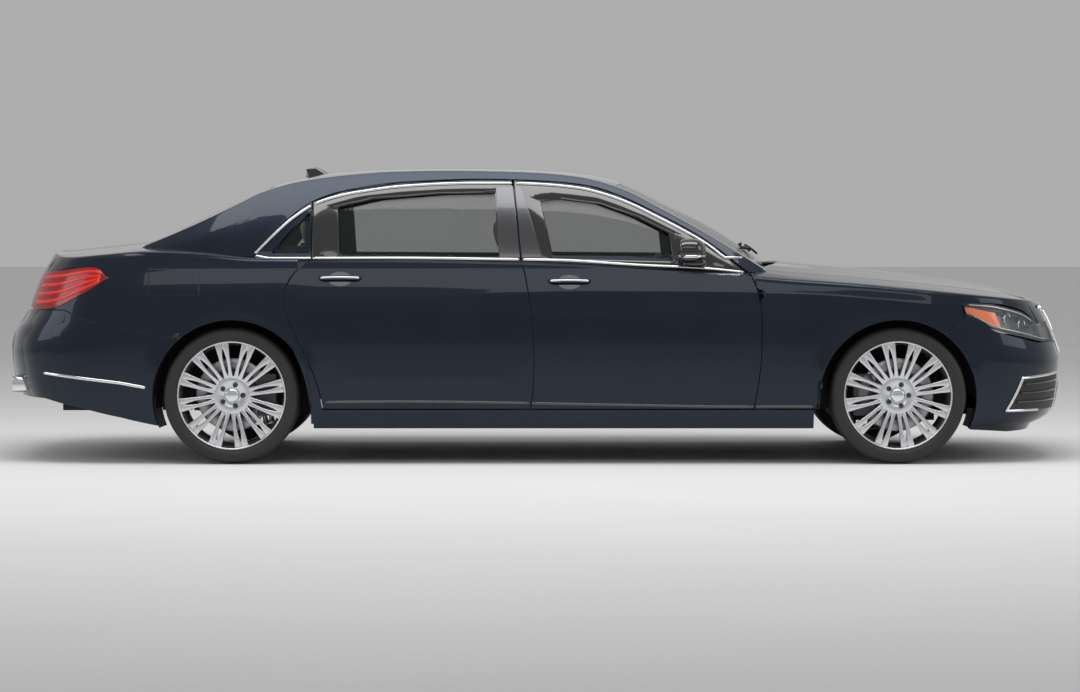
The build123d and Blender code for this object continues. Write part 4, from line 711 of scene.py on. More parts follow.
quarter_flat = coons(low_line, high_line, door_side, straight(low_line[-1], high_line[-1], 30))
quarter_side = at_share(-1.0, quarter_flat[..., 0], quarter_flat[..., 1])
quarter_side[..., 1] += relief(quarter_side[..., 0], quarter_side[..., 2])
quarter = stack(quarter_side, shoulder(quarter_side[-1], -1.0, lambda x: LID_EDGE + 0.0 * x))
both(panel, "quarter_skin", quarter, PAINT, "body", depth=0.014)
print("quarter", quarter.shape)

# %% [markdown]
# ## Bonnet, boot lid and bumpers
# The bonnet and the boot lid each run along the deck and turn down over the car's end. Every
# line along them is one soft curve pulled by deck points, the sharp corner and end points.
# The bumpers wrap round the ends, with their points spread by angle so the corners stay round.

# %% Bonnet and boot lid
def over_end(sign, y, start_x, low_z, rows):
    """Lines that run along the deck to the end's corner and down its face to low_z."""
    z = np.full(y.shape, 0.9)
    for _ in range(12):
        x = end_x(sign, y, z)
        z = 0.5 * z + 0.5 * deck_z(x, y)
    corner = np.stack([x, y, z], -1)
    control = []
    for part in (0.0, 0.15, 0.3, 0.45, 0.6, 0.75, 0.87, 0.94, 0.98):
        place = start_x + (x - start_x) * part
        control.append(np.stack([place, y, deck_z(place, y)], -1))
    control.append(corner)
    for part in (0.12, 0.35, 0.7, 1.0):
        height = z + (low_z - z) * part
        control.append(np.stack([end_x(sign, y, height), y, height], -1))
    return soft_curve(np.stack(control), np.linspace(0, 1, rows))


def end_x(sign, y, z, proud=PROUD):
    """How far the nose or tail reaches at a half width and height."""
    inset, power, root = ends(sign)
    share = np.clip(np.abs(y) / (HALF_WIDTH - side_inset(z)), 0.0, 1.0)
    reach = (HALF_LENGTH - inset(z) - STRAIGHT) * (1 - share ** root) ** (1 / power)
    return sign * (STRAIGHT + reach + proud)


across = np.linspace(-1, 1, 61)
lid_y = (LID_EDGE - 0.006) * across
lid = over_end(-1.0, lid_y, np.full(61, -2.012), 0.785, 60)
lid[..., 2] += 0.010 * np.exp(-((lid[..., 0] + 2.50) / 0.035) ** 2) * smooth_step(lid[..., 2], 0.95, 1.0)
lid_skin = panel("boot_lid_skin", lid, PAINT, "boot_lid", depth=0.014)
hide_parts("boot_lid")

BONNET_HALF, BONNET_BACK, BONNET_BOW = 0.742, 1.130, 0.150
nose = over_end(1.0, BONNET_HALF * across, np.full(61, BONNET_BACK), 0.793, 70)
squeeze = bonnet_edge(nose[..., 0]) / BONNET_HALF
bonnet_y = nose[..., 1] * (squeeze - 0.004)
back = BONNET_BACK + BONNET_BOW * (1 - across ** 2)
tip = nose[..., 0]
bonnet_x = tip + (1 - smooth_step(tip, BONNET_BACK, 2.00)) * (back - BONNET_BACK)[None]
on_face = smooth_step(tip, 2.50, 2.58)
bonnet_z = deck_z(bonnet_x, bonnet_y) * (1 - on_face) + nose[..., 2] * on_face
ridge = 0.42 + 0.16 * (2.6 - bonnet_x) / 1.5
fold = np.exp(-np.abs(np.abs(bonnet_y) - ridge) / 0.05)
bonnet_z = bonnet_z + 0.004 * fold * smooth_step(2.55 - bonnet_x, 0.0, 0.3)
bonnet_skin = panel("bonnet_skin", np.stack([bonnet_x, bonnet_y, bonnet_z], -1), PAINT, "bonnet", depth=0.014)
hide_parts("bonnet")
print("bonnet", bonnet_x.shape, "lid", lid.shape)


# %% Bumpers
def across_car(half):
    """A whole grid from its left half, whose last column lies on the centre line."""
    other = half[:, ::-1] * np.array([1.0, -1.0, 1.0])
    return np.concatenate([half, other[:, 1:]], axis=1)


def turn_of(sign, x, z):
    """The quarter turn's angle that gives a station: the sine of it, raised, is the share."""
    return np.arcsin(np.clip(share_of(sign, x, z), 0, 1) ** (ends(sign)[1] / 2))


def bumper(sign, low, high, back, rows):
    """A bumper's half from its (x, z) edges near the arch and (angle, z) points round the end."""
    def bend(path, angles):
        path = np.array(path, float)
        turned = np.stack([turn_of(sign, path[:, 0], path[:, 1]), path[:, 1]], 1)
        return np.concatenate([turned, angles])
    low_line = even(bend(*low), 60)
    high_line = even(bend(*high), 60)
    arch_line = np.stack([turn_of(sign, back[:, 0], back[:, 1]), back[:, 1]], 1)
    low_line[0], high_line[0] = arch_line[0], arch_line[-1]
    centre = straight(low_line[-1], high_line[-1], rows)
    flat = coons(low_line, high_line, arch_line, centre)
    face = at_share(sign, turn_share(sign, flat[..., 0]), flat[..., 1])
    face[..., 1] += relief(face[..., 0], face[..., 2]) * smooth_step(face[..., 1], 0.5, 0.8)
    face[:, -1, 1] = 0.0
    return across_car(face)


front_path = [(x, float(lamp_low(x)) - 0.004) for x in np.linspace(2.175, 2.56, 10)]
front_bumper = bumper(1.0, ([(2.190, 0.168), (2.400, 0.150), (2.520, 0.150)], [(np.pi / 2, 0.150)]),
                      ([(2.066, 0.661), (2.150, 0.715)] + front_path,
                       [(1.255, 0.600), (1.300, 0.541), (np.pi / 2, 0.541)]),
                      arc(FRONT_AXLE, -23.0, 55.5, 26), 26)
panel("front_bumper_skin", front_bumper, PAINT, "body", depth=0.012)
rear_path = [(x, float(bumper_top(x))) for x in np.linspace(-1.85, -2.391, 10)]
rear_bumper = bumper(-1.0,
                     ([(-1.916, 0.191), (-2.099, 0.232), (-2.300, 0.279), (-2.500, 0.325)],
                      [(np.pi / 2, 0.337)]),
                     ([(-1.806, 0.633)] + rear_path, [(np.pi / 2, 0.772)]), arc(REAR_AXLE, 200.0, 130.5, 26),
                     26)
panel("rear_bumper_skin", rear_bumper, PAINT, "body", depth=0.012)
print("bumpers", front_bumper.shape, rear_bumper.shape)

# %% [markdown]
# ## Roof and pillars
# The glasshouse leans in from the belt to the roof rail. One set of lines runs up the side,
# round the rail and across the roof, so the rail stays a soft, even radius from end to end.

# %% Cabin curves
cabin_inset = curve([(-2.010, 0.245), (-1.700, 0.160), (-1.400, 0.096), (-1.000, 0.067), (-0.300, 0.057),
                     (0.300, 0.057), (0.700, 0.076), (1.000, 0.116), (1.180, 0.160)])
rail_height = curve([(-2.010, 1.092), (-1.946, 1.117), (-1.739, 1.205), (-1.533, 1.302), (-1.409, 1.363),
                     (-1.222, 1.419), (-1.000, 1.452), (-0.707, 1.474), (-0.450, 1.478), (-0.190, 1.474),
                     (0.016, 1.466), (0.223, 1.444), (0.430, 1.386), (0.636, 1.281), (0.843, 1.167),
                     (1.040, 1.048), (1.110, 1.005), (1.180, 0.960)])
roof_height = curve([(-2.010, 1.120), (-1.946, 1.150), (-1.739, 1.250), (-1.533, 1.345), (-1.409, 1.400),
                     (-1.222, 1.448), (-1.000, 1.482), (-0.707, 1.495), (-0.450, 1.498), (-0.100, 1.494),
                     (0.100, 1.484), (0.338, 1.455), (0.509, 1.400), (0.659, 1.325), (0.766, 1.274),
                     (0.873, 1.223), (0.980, 1.160), (1.087, 1.087), (1.180, 1.022)])
frame_top = curve([(-1.434, 1.052), (-1.384, 1.110), (-1.293, 1.203), (-1.192, 1.288), (-1.137, 1.322),
                   (-0.991, 1.372), (-0.689, 1.418), (-0.286, 1.434), (-0.084, 1.430), (0.117, 1.419),
                   (0.268, 1.400), (0.420, 1.352), (0.621, 1.257), (0.823, 1.148), (0.898, 1.097),
                   (1.066, 0.965)])


def lean(rise):
    """How far the side leans in by its rise above the belt: mostly in step, then a little more."""
    rise = np.maximum(rise, 0.0)
    return 0.42 * rise + 0.3 * rise ** 2


def rail_y(x):
    """Half width at the roof rail."""
    return HALF_WIDTH - cabin_inset(x) - lean(rail_height(x) - edge_height(x))


def cabin_y(x, z, proud=PROUD):
    """Half width of the glasshouse: a parabola through its foot, waist and rail."""
    base, low, top = HALF_WIDTH - cabin_inset(x), edge_height(x) - 0.06, rail_height(x)
    foot = base + 0.008
    waist = base + 0.020 - lean((low + top) / 2 - edge_height(x))
    t = (z - low) / np.maximum(top - low, 0.02)
    return (1 - t) * (1 - 2 * t) * foot + 4 * t * (1 - t) * waist + t * (2 * t - 1) * rail_y(x) + proud


def roof_z(x, y, proud=PROUD):
    """Roof height: the rail's, and a crown that falls off towards the rail."""
    share = np.clip(np.abs(y) / rail_y(x), 0, 1)
    return rail_height(x) + (roof_height(x) - rail_height(x)) * (1 - share ** 2.2) + proud


def over_rail(x, low_z, inner_y, rows):
    """Lines from low_z up the side, over the rail and inwards to inner_y."""
    top, edge = rail_height(x), rail_y(x) + PROUD
    control = []
    for part in (0.0, 0.35, 0.7, 0.92):
        z = low_z + (top - low_z) * part
        control.append(np.stack([x, cabin_y(x, z), z], 1))
    control.append(np.stack([x, edge, roof_z(x, rail_y(x))], 1))
    for part in (0.10, 0.3, 0.6, 1.0):
        y = edge + (inner_y - edge) * part
        control.append(np.stack([x, y, roof_z(x, y)], 1))
    return soft_curve(np.stack(control), np.linspace(0, 1, rows))


# %% Side rails
SCREEN_EDGE = 0.050
rail_x = np.concatenate([np.linspace(1.150, 0.428, 40), np.linspace(0.400, -1.330, 60),
                         np.linspace(-1.355, -2.000, 40)])
rail_low = np.where(rail_x > 1.066, 0.965,
                    np.where(rail_x > -1.430, frame_top(rail_x) + 0.006, edge_height(rail_x) + 0.012))
side_rail = over_rail(rail_x, np.minimum(rail_low, rail_height(rail_x) - 0.01), rail_y(rail_x) - SCREEN_EDGE,
                      26)
both(panel, "side_rail", side_rail, PAINT, "body", depth=0.008)

# %% Roof skin
roof_across = np.linspace(-1, 1, 81)[None]
roof_share = np.linspace(0, 1, 60)[:, None]
roof_ends = [0.400 + 0.055 * (1 - roof_across ** 2), -1.335 - 0.060 * (1 - roof_across ** 2)]
roof_x = roof_ends[0] + (roof_ends[1] - roof_ends[0]) * roof_share
roof_y = (rail_y(roof_x) - SCREEN_EDGE - 0.002) * roof_across
roof = np.stack([roof_x, roof_y, roof_z(roof_x, roof_y)], -1)
roof_piece = panel("roof_skin", roof, PAINT, "body", depth=0.010)
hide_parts("roof_panel")
print("roof and side rails", roof.shape, side_rail.shape)

# %% [markdown]
# ## Window frames and bright trim
# Each door's window sits in a gloss black frame, with one bright strip along its top and
# another along the belt. A frame is a ring between two outlines, met by rays from its middle.

# %% Window frames
def rays(centre, angles, outline):
    """Where rays from a centre cross a closed outline, found for all its edges at once."""
    start = np.array(outline) - centre
    edge = np.roll(start, -1, 0) - start
    way = np.stack([np.cos(angles), np.sin(angles)], 1)
    turn = way[:, None, 0] * edge[None, :, 1] - way[:, None, 1] * edge[None, :, 0]
    turn = np.where(np.abs(turn) < 1e-12, 1e-12, turn)
    reach = (start[None, :, 0] * edge[None, :, 1] - start[None, :, 1] * edge[None, :, 0]) / turn
    part = (start[None, :, 0] * way[:, None, 1] - start[None, :, 1] * way[:, None, 0]) / turn
    reach = np.where((part >= -1e-9) & (part <= 1 + 1e-9) & (reach > 0), reach, np.inf).min(1)
    return centre + way * reach[:, None]


def frame_ring(name, outer, inner, finish, bodies, proud=0.004, depth=0.020):
    """A window frame: a ring between two outlines on the cabin's side, with folded edges."""
    inner, outer = np.array(inner), np.array(outer)
    centre = inner.mean(0)
    corners = np.concatenate([inner, outer]) - centre
    angles = np.concatenate([np.linspace(-np.pi, np.pi, 120, endpoint=False),
                             np.arctan2(corners[:, 1], corners[:, 0])])
    angles = np.unique(np.round(angles, 4))
    rim, hole = rays(centre, angles, outer), rays(centre, angles, inner)
    rows = []
    for part, sink in ((0.0, depth), (0.0, 0.0015), (0.02, 0.0), (0.5, 0.0), (0.98, 0.0), (1.0, 0.0015),
                       (1.0, depth)):
        flat = hole + (rim - hole) * part
        y = cabin_y(flat[:, 0], flat[:, 1], proud) - sink
        rows.append(np.stack([flat[:, 0], y, flat[:, 1]], 1))
    both(surface, name, np.stack(rows), finish, bodies, closed_columns=True)


BELT_Z = 1.022
rear_window = [(-1.001, 1.036), (-1.011, 1.293), (-0.840, 1.334), (-0.487, 1.362), (-0.215, 1.366),
               (-0.190, 1.036)]
front_window = [(0.078, 1.036), (0.020, 1.325), (0.117, 1.337), (0.319, 1.312), (0.520, 1.238),
                (0.671, 1.162), (0.690, 1.020)]
frame_ring("window_frame_rear",
           [(-1.134, BELT_Z), (-1.134, 1.319), (-0.991, 1.369), (-0.689, 1.415), (-0.286, 1.431),
           (-0.128, 1.428), (-0.123, 1.379), (-0.084, BELT_Z)], rear_window, GLOSS_BLACK, "rear_door_{}")
frame_ring("window_frame_front",
           [(-0.074, BELT_Z), (-0.113, 1.379), (-0.116, 1.427), (0.117, 1.416), (0.268, 1.397),
           (0.420, 1.349), (0.621, 1.254), (0.823, 1.145), (0.898, 1.094), (1.060, 0.962), (0.95, 0.968)],
           front_window, GLOSS_BLACK, "front_door_{}")


# %% Pillar covers
def cover(name, corners, finish, bodies, proud=0.0065):
    """A small four-cornered plate on the cabin's side, corners in order round it."""
    a, b, c, d = np.array(corners, float)
    flat = coons(straight(a, b, 6), straight(d, c, 6), straight(a, d, 24), straight(b, c, 24))
    grid = np.stack([flat[..., 0], cabin_y(flat[..., 0], flat[..., 1], proud), flat[..., 1]], -1)
    both(panel, name, grid, finish, bodies, depth=0.004)


cover("pillar_cover_rear", [(-0.186, 1.040), (-0.085, 1.040), (-0.122, 1.402), (-0.208, 1.402)], SATIN,
      "rear_door_{}")
cover("pillar_cover_front", [(-0.073, 1.040), (0.028, 1.040), (-0.080, 1.402), (-0.110, 1.402)], SATIN,
      "front_door_{}")


# %% Bright strips
def from_side(path, proud):
    """Cabin-side points from (x, z) points, standing a little proud."""
    path = np.array(path, float)
    return np.stack([path[:, 0], cabin_y(path[:, 0], path[:, 1], proud), path[:, 1]], 1)


def face_out(path):
    """Which way the car's left side faces at each point of a path: mostly sideways."""
    return np.tile(np.array([0.0, 1.0, 0.12]), (len(path), 1))


def side_strip(name, path, width, height, finish, bodies):
    """A bright strip along a side path, on both sides of the car."""
    for side, sign in SIDES.items():
        turn = np.array([1.0, sign, 1.0])
        strip(f"{name}_{side}", path * turn, face_out(path) * turn, oval(width, height, 12, -0.4), finish,
              bodies.format(side))


chrome_line = [(-1.425, 1.060), (-1.384, 1.103), (-1.293, 1.194), (-1.192, 1.276), (-1.090, 1.330),
               (-0.991, 1.356), (-0.839, 1.383), (-0.689, 1.402), (-0.487, 1.414), (-0.286, 1.418),
               (-0.084, 1.417), (0.117, 1.405), (0.268, 1.385), (0.420, 1.338), (0.520, 1.293),
               (0.621, 1.241), (0.722, 1.189), (0.823, 1.132), (0.898, 1.083), (0.980, 1.018),
               (1.052, 0.966)]
chrome_line = even(chrome_line, 220)
soft_z = curve([tuple(point) for point in chrome_line[::11]])
chrome_line[:, 1] = soft_z(chrome_line[:, 0])
lines = {"body": (-1.43, -1.140), "rear_door_{}": (-1.132, -0.126), "front_door_{}": (-0.112, 1.052)}
for bodies, (start, end) in lines.items():
    part = chrome_line[(chrome_line[:, 0] > start) & (chrome_line[:, 0] < end)]
    side_strip("window_strip_" + bodies.split("_{")[0], from_side(part, 0.006), 0.015, 0.006, CHROME, bodies)
belt_line = curve([(-1.420, 1.048), (-1.343, 1.036), (-0.689, 1.038), (-0.185, 1.032), (0.117, 1.027),
                   (0.520, 1.002), (0.823, 0.987), (1.052, 0.965)])
lines = {"body": (-1.420, -1.141), "rear_door_{}": (-1.131, -0.090), "front_door_{}": (-0.068, 1.046)}
for bodies, (start, end) in lines.items():
    x = np.linspace(start, end, 60)
    side_strip("belt_strip_" + bodies.split("_{")[0], from_side(np.stack([x, belt_line(x)], 1), 0.007), 0.015,
               0.007,
               CHROME, bodies)

# %% Sill strips
strip_z = curve([(-1.080, 0.312), (-0.689, 0.315), (0.319, 0.300), (1.336, 0.279), (1.400, 0.277)])
for bodies, start, end in (("rear_door_{}", -1.068, -0.040), ("front_door_{}", -0.024, 1.094),
                           ("body", 1.108, 1.395)):
    x = np.linspace(start, end, 40)
    z = np.maximum(strip_z(x), DOOR_LOW + 0.008) if bodies != "body" else np.maximum(strip_z(x), 0.289)
    path = np.stack([x, side_y(x, z) + 0.002, z], 1)
    side_strip("sill_strip_" + bodies.split("_{")[0], path, 0.013, 0.004, SATIN, bodies)

# %% Rear bumper strip
x = np.linspace(-1.975, -2.500, 40)
z = np.interp(-x, [1.975, 2.100, 2.250, 2.400, 2.500], [0.385, 0.408, 0.425, 0.443, 0.455])
path = np.stack([x, side_y(x, z) + 0.002, z], 1)
normal = normals_of(np.stack([path, path + [0, 0, 0.01]], 0))[0]
normal = normal * np.sign((normal * [0, 1, 0]).sum(-1, keepdims=True))
for side, sign in SIDES.items():
    turn = np.array([1.0, sign, 1.0])
    strip(f"rear_strip_{side}", path * turn, normal * turn, oval(0.016, 0.006, 12, -0.4), CHROME, "body")

# %% [markdown]
# ## Door handles, mirrors and small fittings
# A handle is a bowed bar that stands clear of a gloss black disc, painted shade where the door's
# recess would be. The bar's section is an oval that shrinks and sinks to the door at both ends.

# %% Handles
def handle(name, middle, height, bodies):
    """A bar along the car: its standing-off follows a flat-topped arch, its section an oval."""
    u = np.linspace(-1, 1, 40)[:, None]
    turn = np.linspace(0, 2 * np.pi, 20, endpoint=False)[None]
    x = middle + 0.112 * u + 0.0 * turn
    stand = 0.030 * (1 - np.abs(u) ** 6)
    girth = (1 - np.abs(u) ** 8) ** 0.5 + 0.02
    z = height + 0.012 * girth * np.sin(turn) + 0.004 * (1 - u ** 2)
    y = side_y(x, z + 0.0 * x) + stand - 0.008 + 0.010 * girth * np.cos(turn)
    bar = np.stack([x, y, z + 0.0 * x], -1)
    both(surface, name, bar, PAINT, bodies, centre=(middle, 0.93, height), closed_columns=True)
    line_x = middle + np.linspace(-0.096, 0.096, 30)
    line_z = height + 0.002 + 0.004 * (1 - np.linspace(-0.86, 0.86, 30) ** 2)
    line = np.stack([line_x, side_y(line_x, line_z) + 0.0325, line_z], 1)
    side_strip(name + "_strip", line, 0.009, 0.0025, CHROME, bodies)
    # Behind the bar, a flat gloss black disc a hair proud of the door is painted shade for the handle's
    # recess.
    angle = np.linspace(0, 2 * np.pi, 48, endpoint=False)[None]
    ring = np.array([0.0, 0.3, 0.6, 0.85, 1.0])[:, None]
    recess_shade_x = middle + 0.062 * ring * np.cos(angle)
    recess_shade_z = height - 0.004 + 0.036 * ring * np.sin(angle)
    recess_shade = np.stack([recess_shade_x, side_y(recess_shade_x, recess_shade_z) + relief(recess_shade_x, recess_shade_z) + 0.0006 + 0.0 * recess_shade_x, recess_shade_z], -1)
    both(surface, name + "_cup", recess_shade, GLOSS_BLACK, bodies, closed_columns=True)


handle("door_handle_front", 0.165, 0.922, "front_door_{}")
handle("door_handle_rear", -0.990, 0.937, "rear_door_{}")


# %% Mirrors
def rounded(centre, size, powers=(2.6, 2.6, 2.6), rows=28, columns=48):
    """A rounded box: an ellipsoid whose sines and cosines are raised so that it fills its corners."""
    def swell(value, power):
        return np.sign(value) * np.abs(value) ** (2 / power)
    lat = np.linspace(-np.pi / 2, np.pi / 2, rows)[:, None]
    lon = np.linspace(0, 2 * np.pi, columns, endpoint=False)[None]
    x = swell(np.cos(lat), powers[2]) * swell(np.cos(lon), powers[0])
    y = swell(np.cos(lat), powers[2]) * swell(np.sin(lon), powers[1])
    z = swell(np.sin(lat), powers[2]) + 0 * lon
    return np.stack([x, y, z], -1) * (np.array(size) / 2) + np.array(centre)


def ball(name, grid, finish, body):
    """A closed piece from a grid whose first and last rows are points."""
    piece = surface(name, grid, finish, body, centre=grid.reshape(-1, 3).mean(0), closed_columns=True)
    tidy_faces(piece, merge=1e-6)
    return piece


mirror_low, mirror_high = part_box("door_mirror_left")
print("mirror box", [round(v, 3) for v in mirror_low], [round(v, 3) for v in mirror_high])
for side, sign in SIDES.items():
    body = f"front_door_{side}"
    head = rounded((0.775, 0.945, 1.075), (0.150, 0.180, 0.125), (2.6, 3.0, 2.6))
    head[..., 0] += 0.25 * (head[..., 1] - 0.945) * -0.5
    head[..., 0] = np.maximum(head[..., 0], 0.722 + 0.03 * (1.0 - head[..., 1]))
    turn = np.array([1.0, sign, 1.0])
    cap = ball(f"mirror_head_{side}", head * turn, GLOSS_BLACK, body)
    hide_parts(f"door_mirror_{side}")
    glass = rounded((0.7215, 0.948, 1.076), (0.004, 0.155, 0.095), (2.0, 4.0, 3.0))
    ball(f"mirror_glass_{side}", glass * turn, REFLECTOR, body)
    angle = np.linspace(-0.5, np.pi * 0.9, 30)
    band = np.stack([0.775 + 0.074 * np.cos(angle), 0.945 + 0.091 * np.sin(angle), 1.048 + 0 * angle], 1)
    band_face = unit(band - np.array([0.775, 0.945, 1.048]))
    strip(f"mirror_strip_{side}", band * turn, band_face * turn, oval(0.014, 0.004, 10, -0.5), CHROME, body)
    foot = rounded((0.800, 0.905, 1.012), (0.120, 0.110, 0.040), (2.6, 2.6, 2.2))
    ball(f"mirror_foot_{side}", foot * turn, GLOSS_BLACK, body)
    sail = np.array([(0.700, 1.010), (0.900, 0.998), (0.815, 1.120), (0.700, 1.165)])
    flat = coons(straight(sail[0], sail[1], 8), straight(sail[3], sail[2], 8), straight(sail[0], sail[3], 8),
                 straight(sail[1], sail[2], 8))
    grid = np.stack([flat[..., 0], cabin_y(flat[..., 0], flat[..., 1], 0.006), flat[..., 1]], -1)
    panel(f"mirror_sail_{side}", grid * turn, GLOSS_BLACK, body, depth=0.006)

# %% [markdown]
# ## Wheels and tyres
# A forged wheel is turned first and milled after. The rim and hub here are profiles turned
# round the axle. Each spoke is one closed tube of sections, and a pair of them leaves a
# leaf-shaped slot between, so the face reads as twelve forked arms.

# %% Turned shapes
def turned(profile, count=96, start=0.0):
    """A profile of (radius, out) points carried round the axle: x = r cos, z = r sin, y = out."""
    angle = start + np.linspace(0, 2 * np.pi, count, endpoint=False)[:, None]
    radius, out = np.array(profile, float).T
    return np.stack([radius * np.cos(angle), out + 0 * angle, radius * np.sin(angle)], -1)


def joined(name, parts, finish, body, place):
    """Several closed grids as one piece, moved by place(points)."""
    points, faces, start = [], [], 0
    for grid, closed_rows, closed_columns in parts:
        near = grid_faces(grid.shape[0], grid.shape[1], closed_rows, closed_columns)
        flat = grid.reshape(-1, 3)
        faces.append(near + start)
        points.append(place(flat))
        start += len(flat)
    piece = mesh_piece(name, np.concatenate(points), np.concatenate(faces), finish, body)
    tidy_faces(piece)
    return piece


# %% Tyre
def tyre_grid(width, count=432):
    """A tyre's skin: a rounded profile with ring grooves, and shoulder blocks cut by angle."""
    half = width / 2
    side = [(0.3450, 0.0), (0.3450, 0.35), (0.3445, 0.62), (0.3425, 0.78), (0.3380, 0.885), (0.3300, 0.950),
            (0.3180, 0.990), (0.3040, 1.000), (0.2920, 0.985), (0.2850, 0.950), (0.2835, 0.925),
            (0.2800, 0.915),
            (0.2740, 0.900), (0.2700, 0.840)]
    full = [(r, -w) for r, w in side[:0:-1]] + side
    control = np.array(full) * (1.0, half)
    line = soft_curve(control, np.linspace(0, 1, 96))
    angle = np.linspace(0, 2 * np.pi, count, endpoint=False)[:, None]
    out = line[None, :, 1] + 0 * angle
    share = np.abs(out) / half
    crown = smooth_step(line[None, :, 0], 0.322, 0.336)
    rings = sum(np.exp(-(((out / half) - w) / 0.028) ** 4) for w in (-0.62, -0.22, 0.22, 0.62))
    blocks = smooth_step(np.abs(np.sin(angle * 36 + 7 * out / half)), 0.0, 0.30)
    fine = smooth_step(np.abs(np.sin(angle * 72 - 9 * out / half)), 0.0, 0.35)
    cut = 0.006 * rings + 0.004 * (1 - blocks) * (share > 0.66) + 0.003 * (1 - fine) * (share < 0.6)
    reach = line[None, :, 0] - crown * cut
    return np.stack([reach * np.cos(angle), out, reach * np.sin(angle)], -1)


# %% Spokes
PAIRS = 12
BOLTS, BOLT_RADIUS = 5, 0.056
FIRST_PAIR = np.radians(11.0)


def spoke(angle, side):
    """One spoke of a pair: it fills from the leaf-shaped slot out to the pair's own edge."""
    r = np.linspace(0.080, 0.2655, 34)[:, None]
    slot = 0.0088 * np.sin(np.pi * np.clip((r - 0.102) / 0.140, 0, 1)) ** 0.75
    edge = 0.0225 + 0.0125 * np.clip((r - 0.095) / 0.165, 0, 1) ** 1.6
    edge = np.minimum(edge, r * np.tan(np.pi / PAIRS) * 1.02)
    across = np.array([0.02, 0.0, 0.0, 0.06, 0.2, 0.4, 0.6, 0.8, 0.94, 1.0, 1.0, 0.98])
    drop = np.array([0.030, 0.028, 0.0045, 0.0012, 0.0002, 0.0, 0.0, 0.0002, 0.0012, 0.0045, 0.028, 0.030])
    off = slot + (edge - slot) * across[None]
    height = 0.101 - 0.020 * (1 - np.clip((r - 0.08) / 0.17, 0,
                                          1)) ** 1.5 + 0.003 * np.sin(np.pi * (r - 0.08) / 0.19)
    out = height - drop[None]
    x = r * np.cos(angle) - side * off * np.sin(angle)
    z = r * np.sin(angle) + side * off * np.cos(angle)
    return np.stack([x, out + 0 * x, z], -1)


RIM = [(0.2745, 0.100), (0.2755, 0.1085), (0.2730, 0.1120), (0.2690, 0.1115), (0.2655, 0.1060),
       (0.2640, 0.0960), (0.2600, 0.0800), (0.2520, 0.0500), (0.2480, 0.0000), (0.2480, -0.0600),
       (0.2560, -0.0950), (0.2680, -0.1060), (0.2730, -0.1110), (0.2745, -0.1040), (0.2660, -0.0900),
       (0.2600, -0.0500), (0.2600, 0.0500), (0.2660, 0.0900)]
HUB = [(0.0, 0.0880), (0.020, 0.0878), (0.030, 0.0862), (0.0345, 0.0835), (0.0355, 0.0790), (0.0390, 0.0785),
       (0.0410, 0.0820), (0.0700, 0.0835), (0.0880, 0.0850), (0.0940, 0.0830), (0.0960, 0.0780),
       (0.0960, 0.0450), (0.0, 0.0450)]
CAP = [(0.0, 0.0895), (0.018, 0.0893), (0.028, 0.0880), (0.0335, 0.0850), (0.0345, 0.0800), (0.0, 0.0800)]
DISC = [(0.100, 0.030), (0.183, 0.030), (0.185, 0.028), (0.185, 0.000), (0.183, -0.002), (0.100, -0.002)]
DISC_HAT = [(0.0, 0.040), (0.090, 0.040), (0.099, 0.036), (0.101, 0.028), (0.101, 0.006), (0.0, 0.006)]


def make_wheel(end, side, axle_x, track, width, bodies):
    """A wheel with its tyre, bolts and brake disc on one side of the car."""
    sign = SIDES[side]
    inner = bodies.format(side)

    def place(points):
        return points * np.array([1.0, sign, 1.0]) + np.array([axle_x, sign * track / 2, AXLE_Z])

    grow = (width - 0.245) / 2
    out = np.array([0.0, grow, 0.0])
    rubber = joined(f"tyre_{end}_{side}", [(tyre_grid(width), True, True)], TREAD, inner, place)
    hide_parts(f"tyre_{end}_{side}")
    spokes = [(spoke(FIRST_PAIR + k * 2 * np.pi / PAIRS, way) + out, False,
               True) for k in range(PAIRS) for way in (-1, 1)]
    metal = joined(f"wheel_{end}_{side}", spokes + [(turned(HUB) + out, True, False)], ALLOY, inner, place)
    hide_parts(f"wheel_{end}_{side}")
    rim = [(r, o + (grow if o > 0 else -grow)) for r, o in RIM]
    joined(f"rim_{end}_{side}", [(turned(rim, 144), True, True)], ALLOY, inner, place)
    joined(f"wheel_cap_{end}_{side}", [(turned(CAP, 64) + out, True, False)], CHROME, inner, place)
    bolts = []
    for angle in np.arange(BOLTS) * 2 * np.pi / BOLTS:
        spot = BOLT_RADIUS * np.array([np.cos(angle), 0, np.sin(angle)])
        bolt = turned([(0.0, 0.088), (0.006, 0.088), (0.0085, 0.0865), (0.0095, 0.082), (0.0095, 0.070)],
                      6) + spot + out
        well = turned([(0.0095, 0.0836), (0.0135, 0.0845), (0.0135, 0.080), (0.0095, 0.080)], 24) + spot + out
        bolts += [(bolt, True, False), (well, True, True)]
    joined(f"wheel_bolts_{end}_{side}", bolts, SATIN_BLACK, inner, place)
    joined(f"brake_disc_{end}_{side}", [(turned(DISC, 96), True, True), (turned(DISC_HAT, 96), True, False)],
           STEEL,
           inner, place)
    return place


CALIPER_ANGLE = {"front": 172.0, "rear": 8.0}
for end, axle_x, track, width in (("front", FRONT_AXLE, 1.624, 0.245), ("rear", REAR_AXLE, 1.620, 0.265)):
    for side in SIDES:
        place = make_wheel(end, side, axle_x, track, width, end + "_wheel_{}")
        carrier = f"front_hub_{side}" if end == "front" else "body"
        u = np.linspace(-1, 1, 26)[:, None]
        turn = np.linspace(0, 2 * np.pi, 28, endpoint=False)[None]
        angle = np.radians(CALIPER_ANGLE[end]) + u * 0.52
        swell = (1 - np.abs(u) ** 5) ** 0.4
        r = 0.1685 + 0.034 * swell * np.sign(np.cos(turn)) * np.abs(np.cos(turn)) ** 0.6
        o = 0.0165 + 0.034 * swell * np.sign(np.sin(turn)) * np.abs(np.sin(turn)) ** 0.6
        grid = np.stack([r * np.cos(angle), o, r * np.sin(angle)], -1)
        joined(f"caliper_{end}_{side}", [(grid, False, True)], CALIPER, carrier, place)

